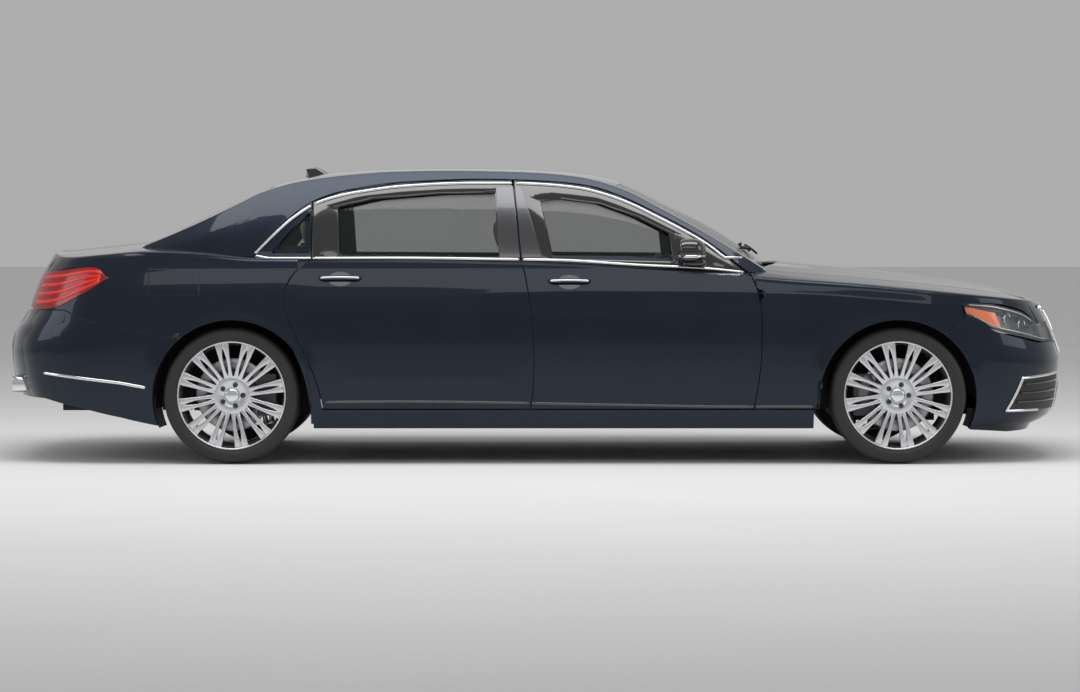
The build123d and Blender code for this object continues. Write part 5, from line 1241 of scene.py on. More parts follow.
# %% Wheel housings
HOUSING_Y, FLAP_Y = 0.464, 0.800
FLAP_ANGLES = {"front": (-22.0, -8.0), "rear": (188.0, 202.0)}


def arch_sector(axle_x, first, last, inner, outer, y, rows, columns):
    """A flat sector behind a wheel arch, between two angles in degrees and two radii."""
    angle = np.radians(np.linspace(first, last, columns))[None]
    radius = np.linspace(inner, outer, rows)[:, None]
    flat = [axle_x + radius * np.cos(angle), np.full((rows, columns), y), ARCH_Z + radius * np.sin(angle)]
    return np.stack(flat, -1)


AXLES = {"front": FRONT_AXLE, "rear": REAR_AXLE}
for end, axle_x in AXLES.items():
    wall = arch_sector(axle_x, -12.0, 192.0, 0.020, 0.404, HOUSING_Y, 12, 60)
    both(surface, f"arch_wall_{end}", wall, UNDERBODY, "body")
for end, axle_x in AXLES.items():
    flap = arch_sector(axle_x, *FLAP_ANGLES[end], 0.370, 0.408, FLAP_Y, 8, 12)
    both(panel, f"mud_flap_{end}", flap, UNDERBODY, "body", depth=0.020)

# %% [markdown]
# ## Lamps
# A lamp is a clear shell that carries on the body's surface, with a dark bowl behind it. The
# bowl holds bright reflectors and a thin light bar. The tail lamps are solid red with lighter
# bars on them.

# %% Head lamps
def lamp_grid(sign, top, low, start_x, inner_y, proud, rows=14, columns=46):
    """A patch of the body's end between two height curves, from a tip round to inner_y."""
    _, power, root = ends(sign)
    last = (1 - (inner_y / (HALF_WIDTH - 0.003)) ** root) ** (1 / power)
    share = np.linspace(share_of(sign, np.array(start_x), 0.78), last, columns)
    x = at_share(sign, share, np.full(columns, 0.72 if sign > 0 else 0.86))[:, 0]
    v = np.linspace(0, 1, rows)[:, None]
    z = low(x)[None] + (top(x) - low(x))[None] * v
    return at_share(sign, share[None] + 0 * z, z, proud), v, np.linspace(0, 1, columns)[None]


for side, sign in SIDES.items():
    turn = np.array([1.0, sign, 1.0])
    shell, v, u = lamp_grid(1.0, lamp_top, lamp_low, 2.160, 0.500, 0.004)
    lens = panel(f"lamp_shell_{side}", shell * turn, CLEAR, "body", depth=0.010)
    if side == "left":
        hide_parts("headlamps")
    edge = np.clip(9 * np.minimum(np.minimum(u, 1 - u) * 1.5, np.minimum(v, 1 - v)), 0, 1) ** 0.7
    bowl = shell.copy()
    pull = 0.060 * edge
    bowl[..., 1] -= pull * 0.8 + 0.004
    bowl[..., 0] -= pull * 0.7
    surface(f"lamp_bowl_{side}", bowl * turn, LAMP_DARK, "body")
    for number, (x, y, z, size) in enumerate([(2.395, 0.735, 0.722, 0.034), (2.480, 0.660, 0.694, 0.036)]):
        rim = turned([(size * 0.80, 0.0), (size, 0.006), (size * 1.05, 0.0), (size * 1.02, -0.03),
                      (size * 0.75, -0.03)], 48)
        bulb = turned([(0.0, 0.010), (size * 0.4, 0.0085), (size * 0.68, 0.004), (size * 0.80, -0.002),
                       (0.0, -0.002)], 48)
        way = np.array([0.80, 0.60, 0.0])
        flat_way = np.array([-0.60, 0.80, 0.0])

        def aim(points, x=x, y=y, z=z):
            spot = points[:, :1] * flat_way + points[:, 1:2] * way + points[:, 2:] * np.array([0.0, 0.0, 1.0])
            return (spot + np.array([x, y, z])) * turn
        joined(f"lamp_ring_{number}_{side}", [(rim, True, True)], REFLECTOR, "body", aim)
        joined(f"lamp_lens_{number}_{side}", [(bulb, True, False)], CLEAR, "body", aim)
    for number, (place, thick) in enumerate([(0.90, 0.007), (0.14, 0.006)]):
        line = shell[round(place * (len(shell) - 1)), 4:-3].copy()
        line[:, 1] -= 0.012
        line[:, 0] -= 0.006
        out = np.tile([0.5, 0.85, 0.1], (len(line), 1))
        strip(f"lamp_blade_{number}_{side}", line * turn, out * turn, oval(thick, 0.003, 8), REFLECTOR,
              "body")
    amber_u = np.linspace(0.02, 0.36, 16)
    columns = (amber_u * (shell.shape[1] - 1)).astype(int)
    amber = shell[2:-4][:, columns].copy()
    amber[..., 1] -= 0.010
    surface(f"lamp_amber_{side}", amber * turn, AMBER, "body")

# %% Tail lamps
tail_top = curve([(-2.600, 0.955), (-2.560, 0.960), (-2.452, 0.972), (-2.301, 0.990), (-2.251, 0.980),
                  (-2.195, 0.940)])
tail_low = curve([(-2.600, 0.775), (-2.560, 0.775), (-2.477, 0.779), (-2.401, 0.797), (-2.326, 0.840),
                  (-2.251, 0.890), (-2.195, 0.934)])
for side, sign in SIDES.items():
    turn = np.array([1.0, sign, 1.0])
    shell, v, u = lamp_grid(-1.0, tail_top, tail_low, -2.200, 0.604, 0.0085)
    lens = panel(f"tail_lamp_{side}", shell * turn, RED, "body", depth=0.010)
    if side == "left":
        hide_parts("tail_lamps")
    spread = len(shell) - 1
    for number, place in enumerate((0.20, 0.42, 0.64, 0.86)):
        low_row = int(place * spread)
        part = place * spread - low_row
        line = (shell[low_row] * (1 - part) + shell[low_row + 1] * part)[5:-2]
        way = normals_of(shell)[low_row, 5:-2]
        way = way * np.sign(way[:, 1:2] + 1e-9)
        strip(f"tail_bar_{number}_{side}", (line + way * 0.0005) * turn, way * turn,
              oval(0.016, 0.0025, 10, -0.4),
              RED_GLOW, "body")

# %% [markdown]
# ## Grille, intakes and small fittings
# The grille's frame and bars are strips carried along lines on the nose, so they bow with it.

# %% Grille
def nose_line(y, z, proud):
    """Points on the nose by half width and height."""
    y, z = np.broadcast_arrays(y, z)
    return np.stack([end_x(1.0, y, z, proud), y, z], -1)


def nose_out(line):
    """Which way the nose faces along a line on it."""
    step = 0.004
    x, y, z = line.T
    side_rise = (end_x(1.0, y + step, z) - end_x(1.0, y - step, z)) / (2 * step)
    up_rise = (end_x(1.0, y, z + step) - end_x(1.0, y, z - step)) / (2 * step)
    return unit(np.stack([np.ones_like(x), -side_rise, -up_rise], 1))


half = [(0.0, 0.785), (0.30, 0.785), (0.405, 0.782), (0.425, 0.765), (0.418, 0.66), (0.395, 0.565),
        (0.375, 0.550), (0.20, 0.546), (0.0, 0.546)]
outline = even(half + [(-y, z) for y, z in half[-2:0:-1]] + [(0.0, 0.785)], 161)[:-1]
frame_line = nose_line(outline[:, 0], outline[:, 1], 0.004)
strip("grille_frame", frame_line, nose_out(frame_line), oval(0.030, 0.014, 14, -0.4), CHROME, "body",
      closed=True)
for number, z in enumerate(np.linspace(0.584, 0.748, 6)):
    reach = float(np.interp(z, [0.55, 0.66, 0.77], [0.385, 0.410, 0.418]))
    bar = nose_line(np.linspace(-reach, reach, 60), z, 0.002)
    strip(f"grille_bar_{number}", bar, nose_out(bar), oval(0.012, 0.010, 12, -0.6), CHROME, "body")
y, z = np.meshgrid(np.linspace(-0.415, 0.415, 60), np.linspace(0.548, 0.782, 24))
surface("grille_mesh", nose_line(y, z, -0.004), SATIN_BLACK, "body")
y = np.linspace(0.436, 0.497, 8)[None] + 0 * np.linspace(0, 1, 20)[:, None]
z = 0.606 + (0.789 - 0.606) * np.linspace(0, 1, 20)[:, None] + 0 * y
both(panel, "nose_flank", nose_line(y, z, PROUD), PAINT, "body", depth=0.010)
y = np.linspace(0.499, 0.640, 16)[None] + 0 * np.linspace(0, 1, 12)[:, None]
z_top_line = np.minimum(0.790, edge_height(end_x(1.0, y, 0.75)) + 0.03)
z = 0.706 + (z_top_line - 0.706) * np.linspace(0, 1, 12)[:, None]
both(panel, "nose_cap", nose_line(y, z, PROUD), PAINT, "body", depth=0.010)
corner_seat = over_end(1.0, np.linspace(0.380, 0.680, 24), np.full(24, 2.400), 0.700, 40)
both(surface, "nose_seat", corner_seat - np.array([0.004, 0.0, 0.004]), PAINT, "body")


# %% Intakes
def bumper_point(turn, z, proud):
    """A front bumper point by quarter-turn angle and height."""
    return at_share(1.0, turn_share(1.0, turn), z, proud)


first = float(turn_of(1.0, np.array(2.43), np.array(0.33)))
u, v = np.meshgrid(np.linspace(0, 1, 30), np.linspace(0, 1, 16))
turn_grid = first + (np.radians(68.0) - first) * u - 0.10 * (1 - u) * (0.5 - v)
intake = bumper_point(turn_grid, 0.262 + 0.165 * v + 0.02 * u * v, 0.006)
both(panel, "intake", intake, SATIN_BLACK, "body", depth=0.006)
for number, v_place in enumerate((4, 8, 12)):
    line = intake[v_place, 2:-1]
    out = unit(line * np.array([1.0, 1.0, 0.0]) - np.array([1.9, 0.0, 0.0]))
    for side, sign in SIDES.items():
        way = np.array([1.0, sign, 1.0])
        strip(f"intake_fin_{number}_{side}", line * way, out * way, oval(0.010, 0.010, 10, -0.4), GLOSS_BLACK,
              "body")
rim = np.concatenate([intake[-1, ::-1], intake[::-1, 0][1:], intake[0, 1:16]])
out = unit(rim * np.array([1.0, 1.0, 0.0]) - np.array([1.9, 0.0, 0.0]))
for side, sign in SIDES.items():
    way = np.array([1.0, sign, 1.0])
    strip(f"intake_trim_{side}", rim * way, out * way, oval(0.016, 0.007, 12, -0.4), CHROME, "body")
y, z = np.meshgrid(np.linspace(-0.30, 0.30, 40), np.linspace(0.235, 0.385, 12))
panel("intake_middle", nose_line(y, z, 0.006), SATIN_BLACK, "body", depth=0.006)

# %% Fuel flap
flap_x, flap_z = np.meshgrid(np.linspace(-1.955, -1.703, 34), np.linspace(0.852, 0.982, 22))
flap = np.stack([flap_x, side_y(flap_x, flap_z) + relief(flap_x, flap_z) + 0.0022, flap_z], -1)
# Behind the flap, a near-black sheet a little larger than it shows round its edge as painted shade in the
# gap.
seat_x, seat_z = np.meshgrid(np.linspace(-1.9585, -1.6995, 34), np.linspace(0.8485, 0.9855, 22))
seat = np.stack([seat_x, side_y(seat_x, seat_z) + relief(seat_x, seat_z) + 0.0005, seat_z], -1)
right = np.array([1.0, -1.0, 1.0])
door = panel("fuel_flap_skin", flap * right, PAINT, "fuel_flap", depth=0.0015)
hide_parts("fuel_flap")
surface("fuel_flap_seat", seat * right, GAP_SHADE, "body")

# %% Roof fin and wipers
FIN_X, FIN_HEIGHT = -1.165, 0.050
turn = np.linspace(0, 2 * np.pi, 24, endpoint=False)[None]
lift = np.linspace(0, 1, 30)[:, None]
base_x = FIN_X + 0.062 * np.cos(turn) * (1 - 0.55 * lift) - 0.030 * lift ** 1.6
base_y = 0.019 * np.sin(turn) * (1 - lift) ** 0.8 + 0.0015 * np.sin(turn)
fin_z = roof_z(base_x, np.abs(base_y)) - 0.004 + FIN_HEIGHT * lift
fin = np.stack([base_x, base_y, fin_z], -1)
joined("roof_fin", [(fin, False, True)], GLOSS_BLACK, "body", lambda points: points)


def screen_point(x, y, above):
    """A point over the windscreen, by station and half width."""
    return np.stack([x, y, roof_z(np.minimum(x, 1.175), y, above)], 1)


SCREEN_OUT = [0.6, 0.0, 1.0]
for number, (start_y, end_y) in enumerate([(0.62, 0.02), (0.02, -0.58)]):
    share = np.linspace(0, 1, 40)
    y = start_y + (end_y - start_y) * share
    x = 1.090 - 0.050 * share + 0.04 * (1 - (y / 0.65) ** 2)
    blade, facing = screen_point(x, y, 0.010), np.tile(SCREEN_OUT, (40, 1))
    strip(f"wiper_blade_{number}", blade, facing, oval(0.010, 0.010, 8), SATIN_BLACK, "body")
    share = np.linspace(0, 1, 20)
    y = start_y + (end_y - start_y) * share * 0.5
    x = 1.165 - 0.075 * share
    arm, facing = screen_point(x, y, 0.020), np.tile(SCREEN_OUT, (20, 1))
    strip(f"wiper_arm_{number}", arm, facing, oval(0.016, 0.006, 10), SATIN_BLACK, "body")

# %% Exhaust tips
pipe_low, pipe_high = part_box("exhaust_system")
TAIL_Y, TAIL_BOTTOM = 0.560, 0.352
tail_z = (TAIL_BOTTOM + pipe_high[2]) / 2
tail_wide, tail_tall = 0.097, (pipe_high[2] - TAIL_BOTTOM) / 2 + 0.008
angle = np.linspace(0, 2 * np.pi, 64, endpoint=False)
wide = np.sign(np.cos(angle)) * np.abs(np.cos(angle)) ** 0.4 * tail_wide
tall = np.sign(np.sin(angle)) * np.abs(np.sin(angle)) ** 0.4 * tail_tall
rows = [(0.140, 1.0), (0.004, 1.0), (0.0, 0.985), (0.0, 0.93), (0.003, 0.90)]
for side, sign in SIDES.items():
    tip_end = pipe_low[0] - 0.006
    rings = [np.stack([np.full(64, tip_end + back), TAIL_Y + wide * grow, tail_z + tall * grow], 1)
             for back, grow in rows]
    grid = np.stack(rings) * np.array([1.0, sign, 1.0])
    joined(f"exhaust_tip_{side}", [(grid, False, True)], CHROME, "body", lambda points: points)
    y, z = np.meshgrid(np.linspace(-0.092, 0.092, 8), np.linspace(-0.040, 0.040, 6))
    mouth = np.stack([np.full(y.shape, pipe_low[0] - 0.003), sign * TAIL_Y + y, tail_z + z], -1)
    surface(f"exhaust_shade_{side}", mouth, SATIN_BLACK, "body", centre=(0.0, 0.0, tail_z))
# %% [markdown]
# ## Cabin
# A seat cushion is foam under leather: it is fullest in the middle and pulled in at its seams.
# Each cushion starts as a rounded block. A short cloth simulation then blows it up a little,
# and the seams are pressed in after it, because remeshing would erase them. One side is made
# and the other is a mirrored copy, so a left and right seat match.

# %% Rounded blocks
def rounded_block(length, width, height, power=0.42, rows=48, columns=72):
    """A closed rounded block: sines and cosines raised to a small power square up an ellipsoid."""
    up = np.linspace(-np.pi / 2, np.pi / 2, rows)[:, None]
    turn = np.linspace(0, 2 * np.pi, columns, endpoint=False)[None]

    def squared(wave, share):
        return np.sign(wave) * np.abs(wave) ** share

    reach = np.cos(up).clip(0) ** power
    x = reach * squared(np.cos(turn), power) * length / 2
    y = reach * squared(np.sin(turn), power) * width / 2
    z = squared(np.sin(up), power) * height / 2 + 0 * turn
    return np.stack([x, y, z], -1)


def leaned(points, angle, place):
    """Points turned about the car's cross axis by an angle, then moved."""
    x, y, z = points[..., 0], points[..., 1], points[..., 2]
    turned_x = x * np.cos(angle) + z * np.sin(angle)
    turned_z = -x * np.sin(angle) + z * np.cos(angle)
    return np.stack([turned_x, y, turned_z], -1) + np.array(place)


# %% Swelling by cloth
def swell(piece, limit):
    """Remesh a pad, blow it up with cloth pressure, and cap how far each point has moved."""
    remesh = piece.modifiers.new("even_mesh", "REMESH")
    remesh.mode = "VOXEL"
    remesh.voxel_size = 0.011
    apply_all(piece)
    start = points_of(piece)
    cloth = piece.modifiers.new("foam", "CLOTH")
    cloth.settings.use_pressure = True
    cloth.settings.uniform_pressure_force = 4.0
    cloth.settings.effector_weights.gravity = 0.0
    cloth.point_cache.frame_start, cloth.point_cache.frame_end = 1, 20
    for number in range(1, 21):
        bpy.context.scene.frame_set(number)
    apply_all(piece)
    move = points_of(piece) - start
    far = np.linalg.norm(move, axis=1, keepdims=True)
    set_points(piece, start + move * np.minimum(1.0, limit / np.maximum(far, 1e-9)))
    bpy.context.scene.frame_set(1)
    finer = piece.modifiers.new("finer", "SUBSURF")
    finer.levels = finer.render_levels = 1
    apply_all(piece)
    return piece


def apply_all(piece):
    """Turn a piece's modifiers into its mesh."""
    shape = piece.evaluated_get(bpy.context.evaluated_depsgraph_get())
    mesh = bpy.data.meshes.new_from_object(shape)
    piece.modifiers.clear()
    mesh.materials.clear()
    mesh.materials.append(piece.data.materials[0])
    piece.data = mesh
    mesh.polygons.foreach_set("use_smooth", np.ones(len(mesh.polygons), bool))


def points_of(piece):
    """A piece's points as one array."""
    flat = np.empty(len(piece.data.vertices) * 3)
    piece.data.vertices.foreach_get("co", flat)
    return flat.reshape(-1, 3)


def set_points(piece, points):
    """Put an array of points back into a piece."""
    piece.data.vertices.foreach_set("co", points.ravel())
    piece.data.update()


def pad(name, grid, seam, place, lean_angle, body, limit=0.012):
    """A cushion from its own upright grid: swollen, seamed, leaned, placed and mirrored."""
    piece = mesh_piece(f"{name}_left", grid, grid_faces(*grid.shape[:2], False, True), CREAM, body)
    tidy_faces(piece)
    swell(piece, limit)
    points = points_of(piece)
    normals = np.empty(len(points) * 3)
    piece.data.vertices.foreach_get("normal", normals)
    points = points - normals.reshape(-1, 3) * seam(points)[:, None]
    set_points(piece, leaned(points, lean_angle, place))
    other = bpy.data.objects.new(f"{name}_right", piece.data.copy())
    bpy.context.scene.collection.objects.link(other)
    set_points(other, points_of(piece) * np.array([1.0, -1.0, 1.0]))
    other.data.flip_normals()
    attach(other, body)
    return [piece, other]


def groove(distance, width=0.006, depth=0.006):
    """A seam's depth by the distance from its line."""
    return depth * np.exp(-(distance / width) ** 2)


# %% Seats
SEAT_Y = 0.380


def make_seat(name, front, foot, top, seat_z, half, node):
    """A cushion, a back with side bolsters, and a head pillow on two bright posts."""
    length = front - foot - 0.02
    cushion = rounded_block(length, 2 * half - 0.03, 0.19)
    side = smooth_step(np.abs(cushion[..., 1]) / half, 0.52, 0.78)
    cushion[..., 2] += 0.028 * side * (cushion[..., 2] > 0)
    cushion[..., 2] -= 0.020 * smooth_step(-cushion[..., 0] / length, 0.0, 0.5) * (cushion[..., 2] > 0)

    def cushion_seam(p):
        lines = groove(np.abs(p[:, 1]) - 0.62 * half) + groove(p[:, 2] + 0.045, 0.005, 0.005)
        ribs = groove(np.abs((p[:, 0] + 0.5) % 0.085 - 0.0425), 0.007, 0.005)
        return lines + ribs * (p[:, 2] > 0.03) * (np.abs(p[:, 1]) < 0.60 * half)

    def back_seam(p):
        lines = groove(np.abs(p[:, 1]) - 0.60 * half) + groove(p[:, 0] + 0.030, 0.005, 0.005)
        ribs = groove(np.abs((p[:, 2] + 0.5) % 0.085 - 0.0425), 0.007, 0.005)
        return lines + ribs * (p[:, 0] > 0.01) * (np.abs(p[:, 1]) < 0.58 * half)

    tall = 1.060 - seat_z + 0.10
    back = rounded_block(0.125, 2 * half - 0.03, tall, 0.40)
    side = smooth_step(np.abs(back[..., 1]) / half, 0.50, 0.80)
    back[..., 0] += 0.030 * side * (back[..., 0] > 0) * smooth_step(-back[..., 2] / tall, -0.42, 0.10)
    back[..., 1] *= (1 - 0.16 * smooth_step(back[..., 2] / tall, 0.15, 0.5))
    head = rounded_block(0.095, 0.260, 0.165, 0.55)
    tilt = np.arctan2(foot - top, 1.06 - seat_z)
    middle = ((front + foot) / 2 + 0.01, SEAT_Y, seat_z - 0.085)
    back_place = ((foot + top) / 2 + 0.030, SEAT_Y, seat_z - 0.07 + tall / 2)
    head_place = (top - 0.005, SEAT_Y, 1.150)
    pads = pad(f"{name}_cushion", cushion, cushion_seam, middle, -0.06, "body")
    pads += pad(f"{name}_back", back, back_seam, back_place, -tilt, "body")
    pads += pad(f"{name}_pillow", head, lambda p: groove(p[:, 0] + 0.012, 0.004, 0.004), head_place, -tilt,
                "body", 0.006)
    post = np.array([(top + 0.010, 0.0, 1.000), (top - 0.005, 0.0, 1.110)])
    for side_name, sign in SIDES.items():
        for number, shift in ((1, -0.06), (2, 0.06)):
            path = straight(post[0], post[1], 6) + np.array([0.0, sign * SEAT_Y + shift, 0.0])
            bar = strip(f"{name}_post_{side_name}_{number}", path, np.tile([1.0, 0, 0], (6, 1)),
                        oval(0.012, 0.006), CHROME, "body")
    base = rounded_block(length - 0.04, 2 * half - 0.08, 0.16, 0.3)
    base = base + np.array([(front + foot) / 2 + 0.01, SEAT_Y, 0.290])
    both(surface, f"{name}_base", base, BOARD, "body", closed_columns=True,
         centre=((front + foot) / 2, SEAT_Y, 0.29))
    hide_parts(node)
    return pads


make_seat("front_seat", 0.520, -0.020, -0.165, 0.500, 0.235, "front_seats")
make_seat("rear_seat", -0.480, -0.960, -1.160, 0.520, 0.245, "rear_seats")

# %% Steering wheel
WHEEL_CENTRE = np.array([0.585, 0.380, 0.880])
WHEEL_TILT = np.radians(25.0)


def wheel_place(x_across, y_up, out):
    """A point in the wheel's own plane, moved into the car: across, up the wheel, towards the driver."""
    up = np.array([np.sin(WHEEL_TILT), 0.0, np.cos(WHEEL_TILT)])
    towards = np.array([-np.cos(WHEEL_TILT), 0.0, np.sin(WHEEL_TILT)])
    across_way = np.array([0.0, 1.0, 0.0])
    return WHEEL_CENTRE + x_across[..., None] * across_way + y_up[..., None] * up + out[..., None] * towards


around = np.linspace(0, 2 * np.pi, 120, endpoint=False)[:, None]
tube = np.linspace(0, 2 * np.pi, 20, endpoint=False)[None]
thick = 0.0145 + 0.0015 * np.cos(4 * around)
reach = 0.173 + thick * np.cos(tube)
rim = wheel_place(reach * np.cos(around), reach * np.sin(around), thick * np.sin(tube) * 1.05)
wheel_rim = surface("steering_rim", rim, BLACK_LEATHER, "steering_wheel", WHEEL_CENTRE, True, True)
tidy_faces(wheel_rim)
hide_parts("steering_wheel")
hub = rounded_block(0.150, 0.120, 0.045, 0.6)
hub_piece = surface("steering_pad", wheel_place(hub[..., 0], hub[..., 1] - 0.008, hub[..., 2] + 0.004),
                    BLACK_LEATHER,
                    "steering_wheel", WHEEL_CENTRE, closed_columns=True)
tidy_faces(hub_piece)
for number, angle in enumerate(np.radians([4.0, 176.0, 262.0, 278.0])):
    run = np.linspace(0.060, 0.166, 14)
    start_out = 0.004 * np.ones(14)
    path = wheel_place(run * np.cos(angle), run * np.sin(angle) - 0.004, start_out)
    facing = np.tile([-np.cos(WHEEL_TILT), 0, np.sin(WHEEL_TILT)], (14, 1))
    width = 0.034 if number < 2 else 0.013
    strip(f"steering_spoke_{number + 1}", path, facing, oval(width, 0.006), SATIN, "steering_wheel")
print("steering wheel", rim.shape)

# %% Dashboard
def swept(points, low_y, high_y, columns, lift=0.0):
    """A profile of (x, z) points carried across the car, lifted off itself by lift."""
    line = soft_curve(np.array(points, float), np.linspace(0, 1, 60))
    way = np.gradient(line, axis=0)
    square = np.stack([-way[:, 1], way[:, 0]], 1)
    square = square / np.linalg.norm(square, axis=1, keepdims=True)
    line = line + square * lift
    y = np.linspace(low_y, high_y, columns)[None]
    return np.stack([line[:, None, 0] + 0 * y, y + 0 * line[:, None, 0], line[:, None, 1] + 0 * y], -1)


DASH = [(1.150, 0.870), (1.100, 0.935), (1.000, 0.968), (0.860, 0.978), (0.770, 0.970), (0.732, 0.930),
        (0.742, 0.850), (0.770, 0.720), (0.850, 0.655), (0.960, 0.640)]
dash = swept(DASH, -0.740, 0.740, 60)
dash_piece = panel("dash_skin", dash, BLACK_LEATHER, "body", depth=0.02, centre=(1.0, 0.0, 0.8))
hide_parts("dashboard")
panel("dash_wood", swept([(0.745, 0.925), (0.748, 0.870), (0.756, 0.815)], -0.700, 0.700, 40, 0.006), WOOD,
      "body",
      depth=0.006, centre=(1.0, 0.0, 0.8))
panel("dash_trim", swept([(0.747, 0.812), (0.752, 0.806), (0.758, 0.800)], -0.700, 0.700, 40, 0.008), CHROME,
      "body",
      depth=0.004, centre=(1.0, 0.0, 0.8))
screen = rounded_block(0.018, 0.800, 0.128, 0.16, 24, 96)
screen_place = (0.722, 0.150, 0.985)
screen_piece = surface("dash_screens", leaned(screen, -0.22, screen_place), GLOSS_BLACK, "body", screen_place,
                       closed_columns=True)
tidy_faces(screen_piece)
for number, y in enumerate((-0.105, -0.035, 0.035, 0.105)):
    ring = turned([(0.020, 0.0), (0.024, 0.004), (0.028, 0.004), (0.030, 0.0), (0.028, -0.004),
                   (0.024, -0.004)], 48)
    vent = np.stack([0.736 - ring[..., 1], ring[..., 0] + y, ring[..., 2] + 0.872], -1)
    piece = surface(f"dash_vent_{number + 1}", vent, CHROME, "body", (0.74, y, 0.872), True, True)
    tidy_faces(piece)
print("dashboard", dash.shape)

# %% Door cards, headlining and console
CARD_DEPTH = 0.137
CARDS = (("front", 0.03, 1.00), ("rear", -1.00, -0.13))


def card(x_low, x_high, low_z, high_z, rows=40, columns=60):
    """A padded card on a door's inner face, with an armrest that swells out of it."""
    x = np.linspace(x_low, x_high, columns)[None]
    z = np.linspace(low_z, high_z, rows)[:, None]
    along_share = (x - x_low) / (x_high - x_low)
    rest = smooth_step(along_share, 0.06, 0.16) * (1 - smooth_step(along_share, 0.86, 0.97))
    armrest_rise = 0.050 * np.exp(-((z - 0.640) / 0.055) ** 4)
    pocket_rise = 0.014 * np.exp(-((z - 0.36) / 0.09) ** 4)
    swell_out = (armrest_rise + pocket_rise) * rest
    y = side_y(x, z, 0.0) - CARD_DEPTH - swell_out
    return np.stack([x + 0 * z, y, z + 0 * x], -1)


for end, x_low, x_high in CARDS:
    grid = card(x_low, x_high, 0.290, 0.925)
    both(panel, f"door_card_{end}", grid[:, ::-1], CREAM, end + "_door_{}", depth=-0.006,
         centre=(0.0, 3.0, 0.5))
    wood_grid = card(x_low + 0.05, x_high - 0.05, 0.800, 0.850, 8, 50)
    wood_grid[..., 1] -= 0.004
    both(panel, f"door_wood_{end}", wood_grid, WOOD, end + "_door_{}", depth=-0.004, centre=(0.0, 3.0, 0.5))

lining_x = np.linspace(-1.30, 0.36, 50)[:, None]
lining_y = (rail_y(lining_x) - 0.075) * np.linspace(-1, 1, 61)[None]
lining = np.stack([lining_x + 0 * lining_y, lining_y, roof_z(lining_x + 0 * lining_y, lining_y) - 0.060], -1)
surface("headlining", lining, CREAM, "body", (0.0, 0.0, 4.0))
lid_block = rounded_block(0.360, 0.230, 0.060, 0.35) + np.array([-0.160, 0.0, 0.618])
armrest = surface("console_armrest", lid_block, BLACK_LEATHER, "body", (-0.16, 0.0, 0.618),
                  closed_columns=True)
tidy_faces(armrest)
veneer = rounded_block(0.560, 0.220, 0.010, 0.2) + np.array([0.350, 0.0, 0.604])
veneer_piece = surface("console_wood", veneer, WOOD, "body", (0.35, 0.0, 0.604), closed_columns=True)
tidy_faces(veneer_piece)


# %% Boot wall
shelf_low, shelf_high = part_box("parcel_shelf")
y, z = np.meshgrid(np.linspace(-0.60, 0.60, 40), np.linspace(0.430, shelf_low[2] + 0.005, 20))
boot_wall = np.stack([np.full(y.shape, shelf_high[0] - 0.020), y, z], -1)
panel("boot_wall", boot_wall, BOARD, "body", depth=0.008, centre=(0.0, 0.0, 0.7))
print("boot wall at", round(shelf_high[0] - 0.020, 3))

# %% [markdown]
# ## Light, floor and camera
# A long lens from the car's right side keeps both wheels nearly round. Large soft lamps stand
# for a bright sky, and a pale floor takes the shadow.

# %% CAD finishes
NODE_FINISHES = {
    "arch_liners": UNDERBODY, "body_sides": PAINT, "bonnet": PAINT, "boot_lid": PAINT,
    "centre_console": BLACK_LEATHER, "cowl_panel": SATIN_BLACK, "dashboard": BLACK_LEATHER,
    "engine": IRON, "exhaust_system": UNDERBODY, "floor_pan": UNDERBODY, "front_bumper": PAINT,
    "front_subframe": UNDERBODY, "rear_subframe": UNDERBODY, "front_wings": PAINT, "fuel_flap": PAINT,
    "parcel_shelf": BOARD, "radiator_grille": SATIN_BLACK, "rear_bumper": PAINT, "rear_knuckles": IRON,
    "roof_panel": PAINT, "steering_column": SATIN_BLACK,
}
STARTS = {
    "door_mirror": PAINT, "door": PAINT, "glass": GLASS, "knuckle": IRON, "quarter_windows": GLASS,
    "rear_window": GLASS, "windscreen": GLASS, "headlamps": CLEAR, "tail_lamps": RED, "tyre": TREAD,
    "wheel": ALLOY, "front_seats": CREAM, "rear_seats": CREAM, "steering_wheel": BLACK_LEATHER,
}
for node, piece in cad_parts.items():
    finish = NODE_FINISHES.get(node) or next(f for start, f in STARTS.items() if node.startswith(start))
    piece.data.materials.clear()
    piece.data.materials.append(finish)
print("CAD nodes with a finish", len(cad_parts))

# %% Floor and backdrop
def make_floor():
    """A pale plain floor with very faint patches."""
    floor = Finish("pale_floor", (0.80, 0.80, 0.80), Roughness=0.75)
    floor.set("Base Color", floor.mix(floor.noise(0.8), (0.78, 0.78, 0.78), (0.82, 0.82, 0.82)))
    return floor.material


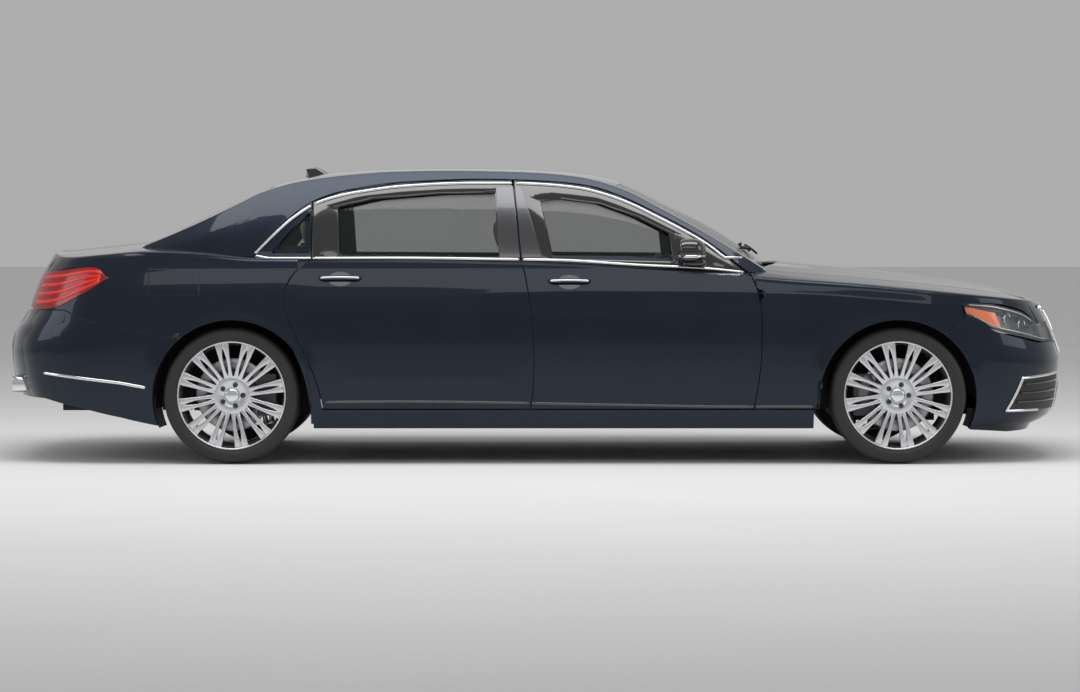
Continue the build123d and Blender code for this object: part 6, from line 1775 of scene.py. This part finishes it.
reach = 60.0
floor_points = np.array([(-reach, -reach, -0.002), (reach, -reach, -0.002), (reach, reach, -0.002),
                         (-reach, reach, -0.002)])
floor_mesh = bpy.data.meshes.new("floor")
floor_mesh.from_pydata(floor_points.tolist(), [], [(0, 1, 2, 3)])
floor_mesh.materials.append(make_floor())
floor = bpy.data.objects.new("floor", floor_mesh)
bpy.context.scene.collection.objects.link(floor)

# %% Lamps and sky
def soft_lamp(name, place, aim, size, power):
    """A large square lamp that looks from one point to another."""
    light = bpy.data.lights.new(name, "AREA")
    light.shape, light.size, light.size_y, light.energy = "RECTANGLE", size[0], size[1], power
    lamp = bpy.data.objects.new(name, light)
    bpy.context.scene.collection.objects.link(lamp)
    lamp.location = place
    lamp.rotation_euler = (Vector(aim) - Vector(place)).to_track_quat("-Z", "Y").to_euler()


soft_lamp("sky_above", (0.0, -1.5, 6.0), (0.0, 0.0, 0.0), (8.0, 3.0), 300.0)
soft_lamp("near_side", (0.5, -8.0, 4.6), (0.0, 0.0, 0.7), (9.0, 1.2), 55.0)
soft_lamp("front_end", (9.0, -3.0, 3.5), (1.5, 0.0, 0.6), (4.0, 4.0), 90.0)
soft_lamp("rear_end", (-9.0, -3.0, 3.5), (-1.5, 0.0, 0.6), (4.0, 4.0), 90.0)
soft_lamp("far_side", (0.0, 9.0, 3.4), (0.0, 0.0, 0.7), (10.0, 2.4), 14.0)

world = bpy.data.worlds.new("studio")
world.use_nodes = True
world.node_tree.nodes["Background"].inputs["Color"].default_value = (1.0, 1.0, 1.0, 1.0)
world.node_tree.nodes["Background"].inputs["Strength"].default_value = 0.42
bpy.context.scene.world = world

# %% Camera
CAMERA = (0.0166, -18.43, 1.28)
camera = bpy.data.objects.new("camera", bpy.data.cameras.new("camera"))
camera.location = CAMERA
camera.rotation_euler = (np.radians(87.76), 0.0, 0.0)
camera.data.lens = 115.8
camera.data.sensor_width = 36.0
bpy.context.scene.collection.objects.link(camera)
bpy.context.scene.camera = camera
bpy.context.scene.view_settings.view_transform = "Standard"
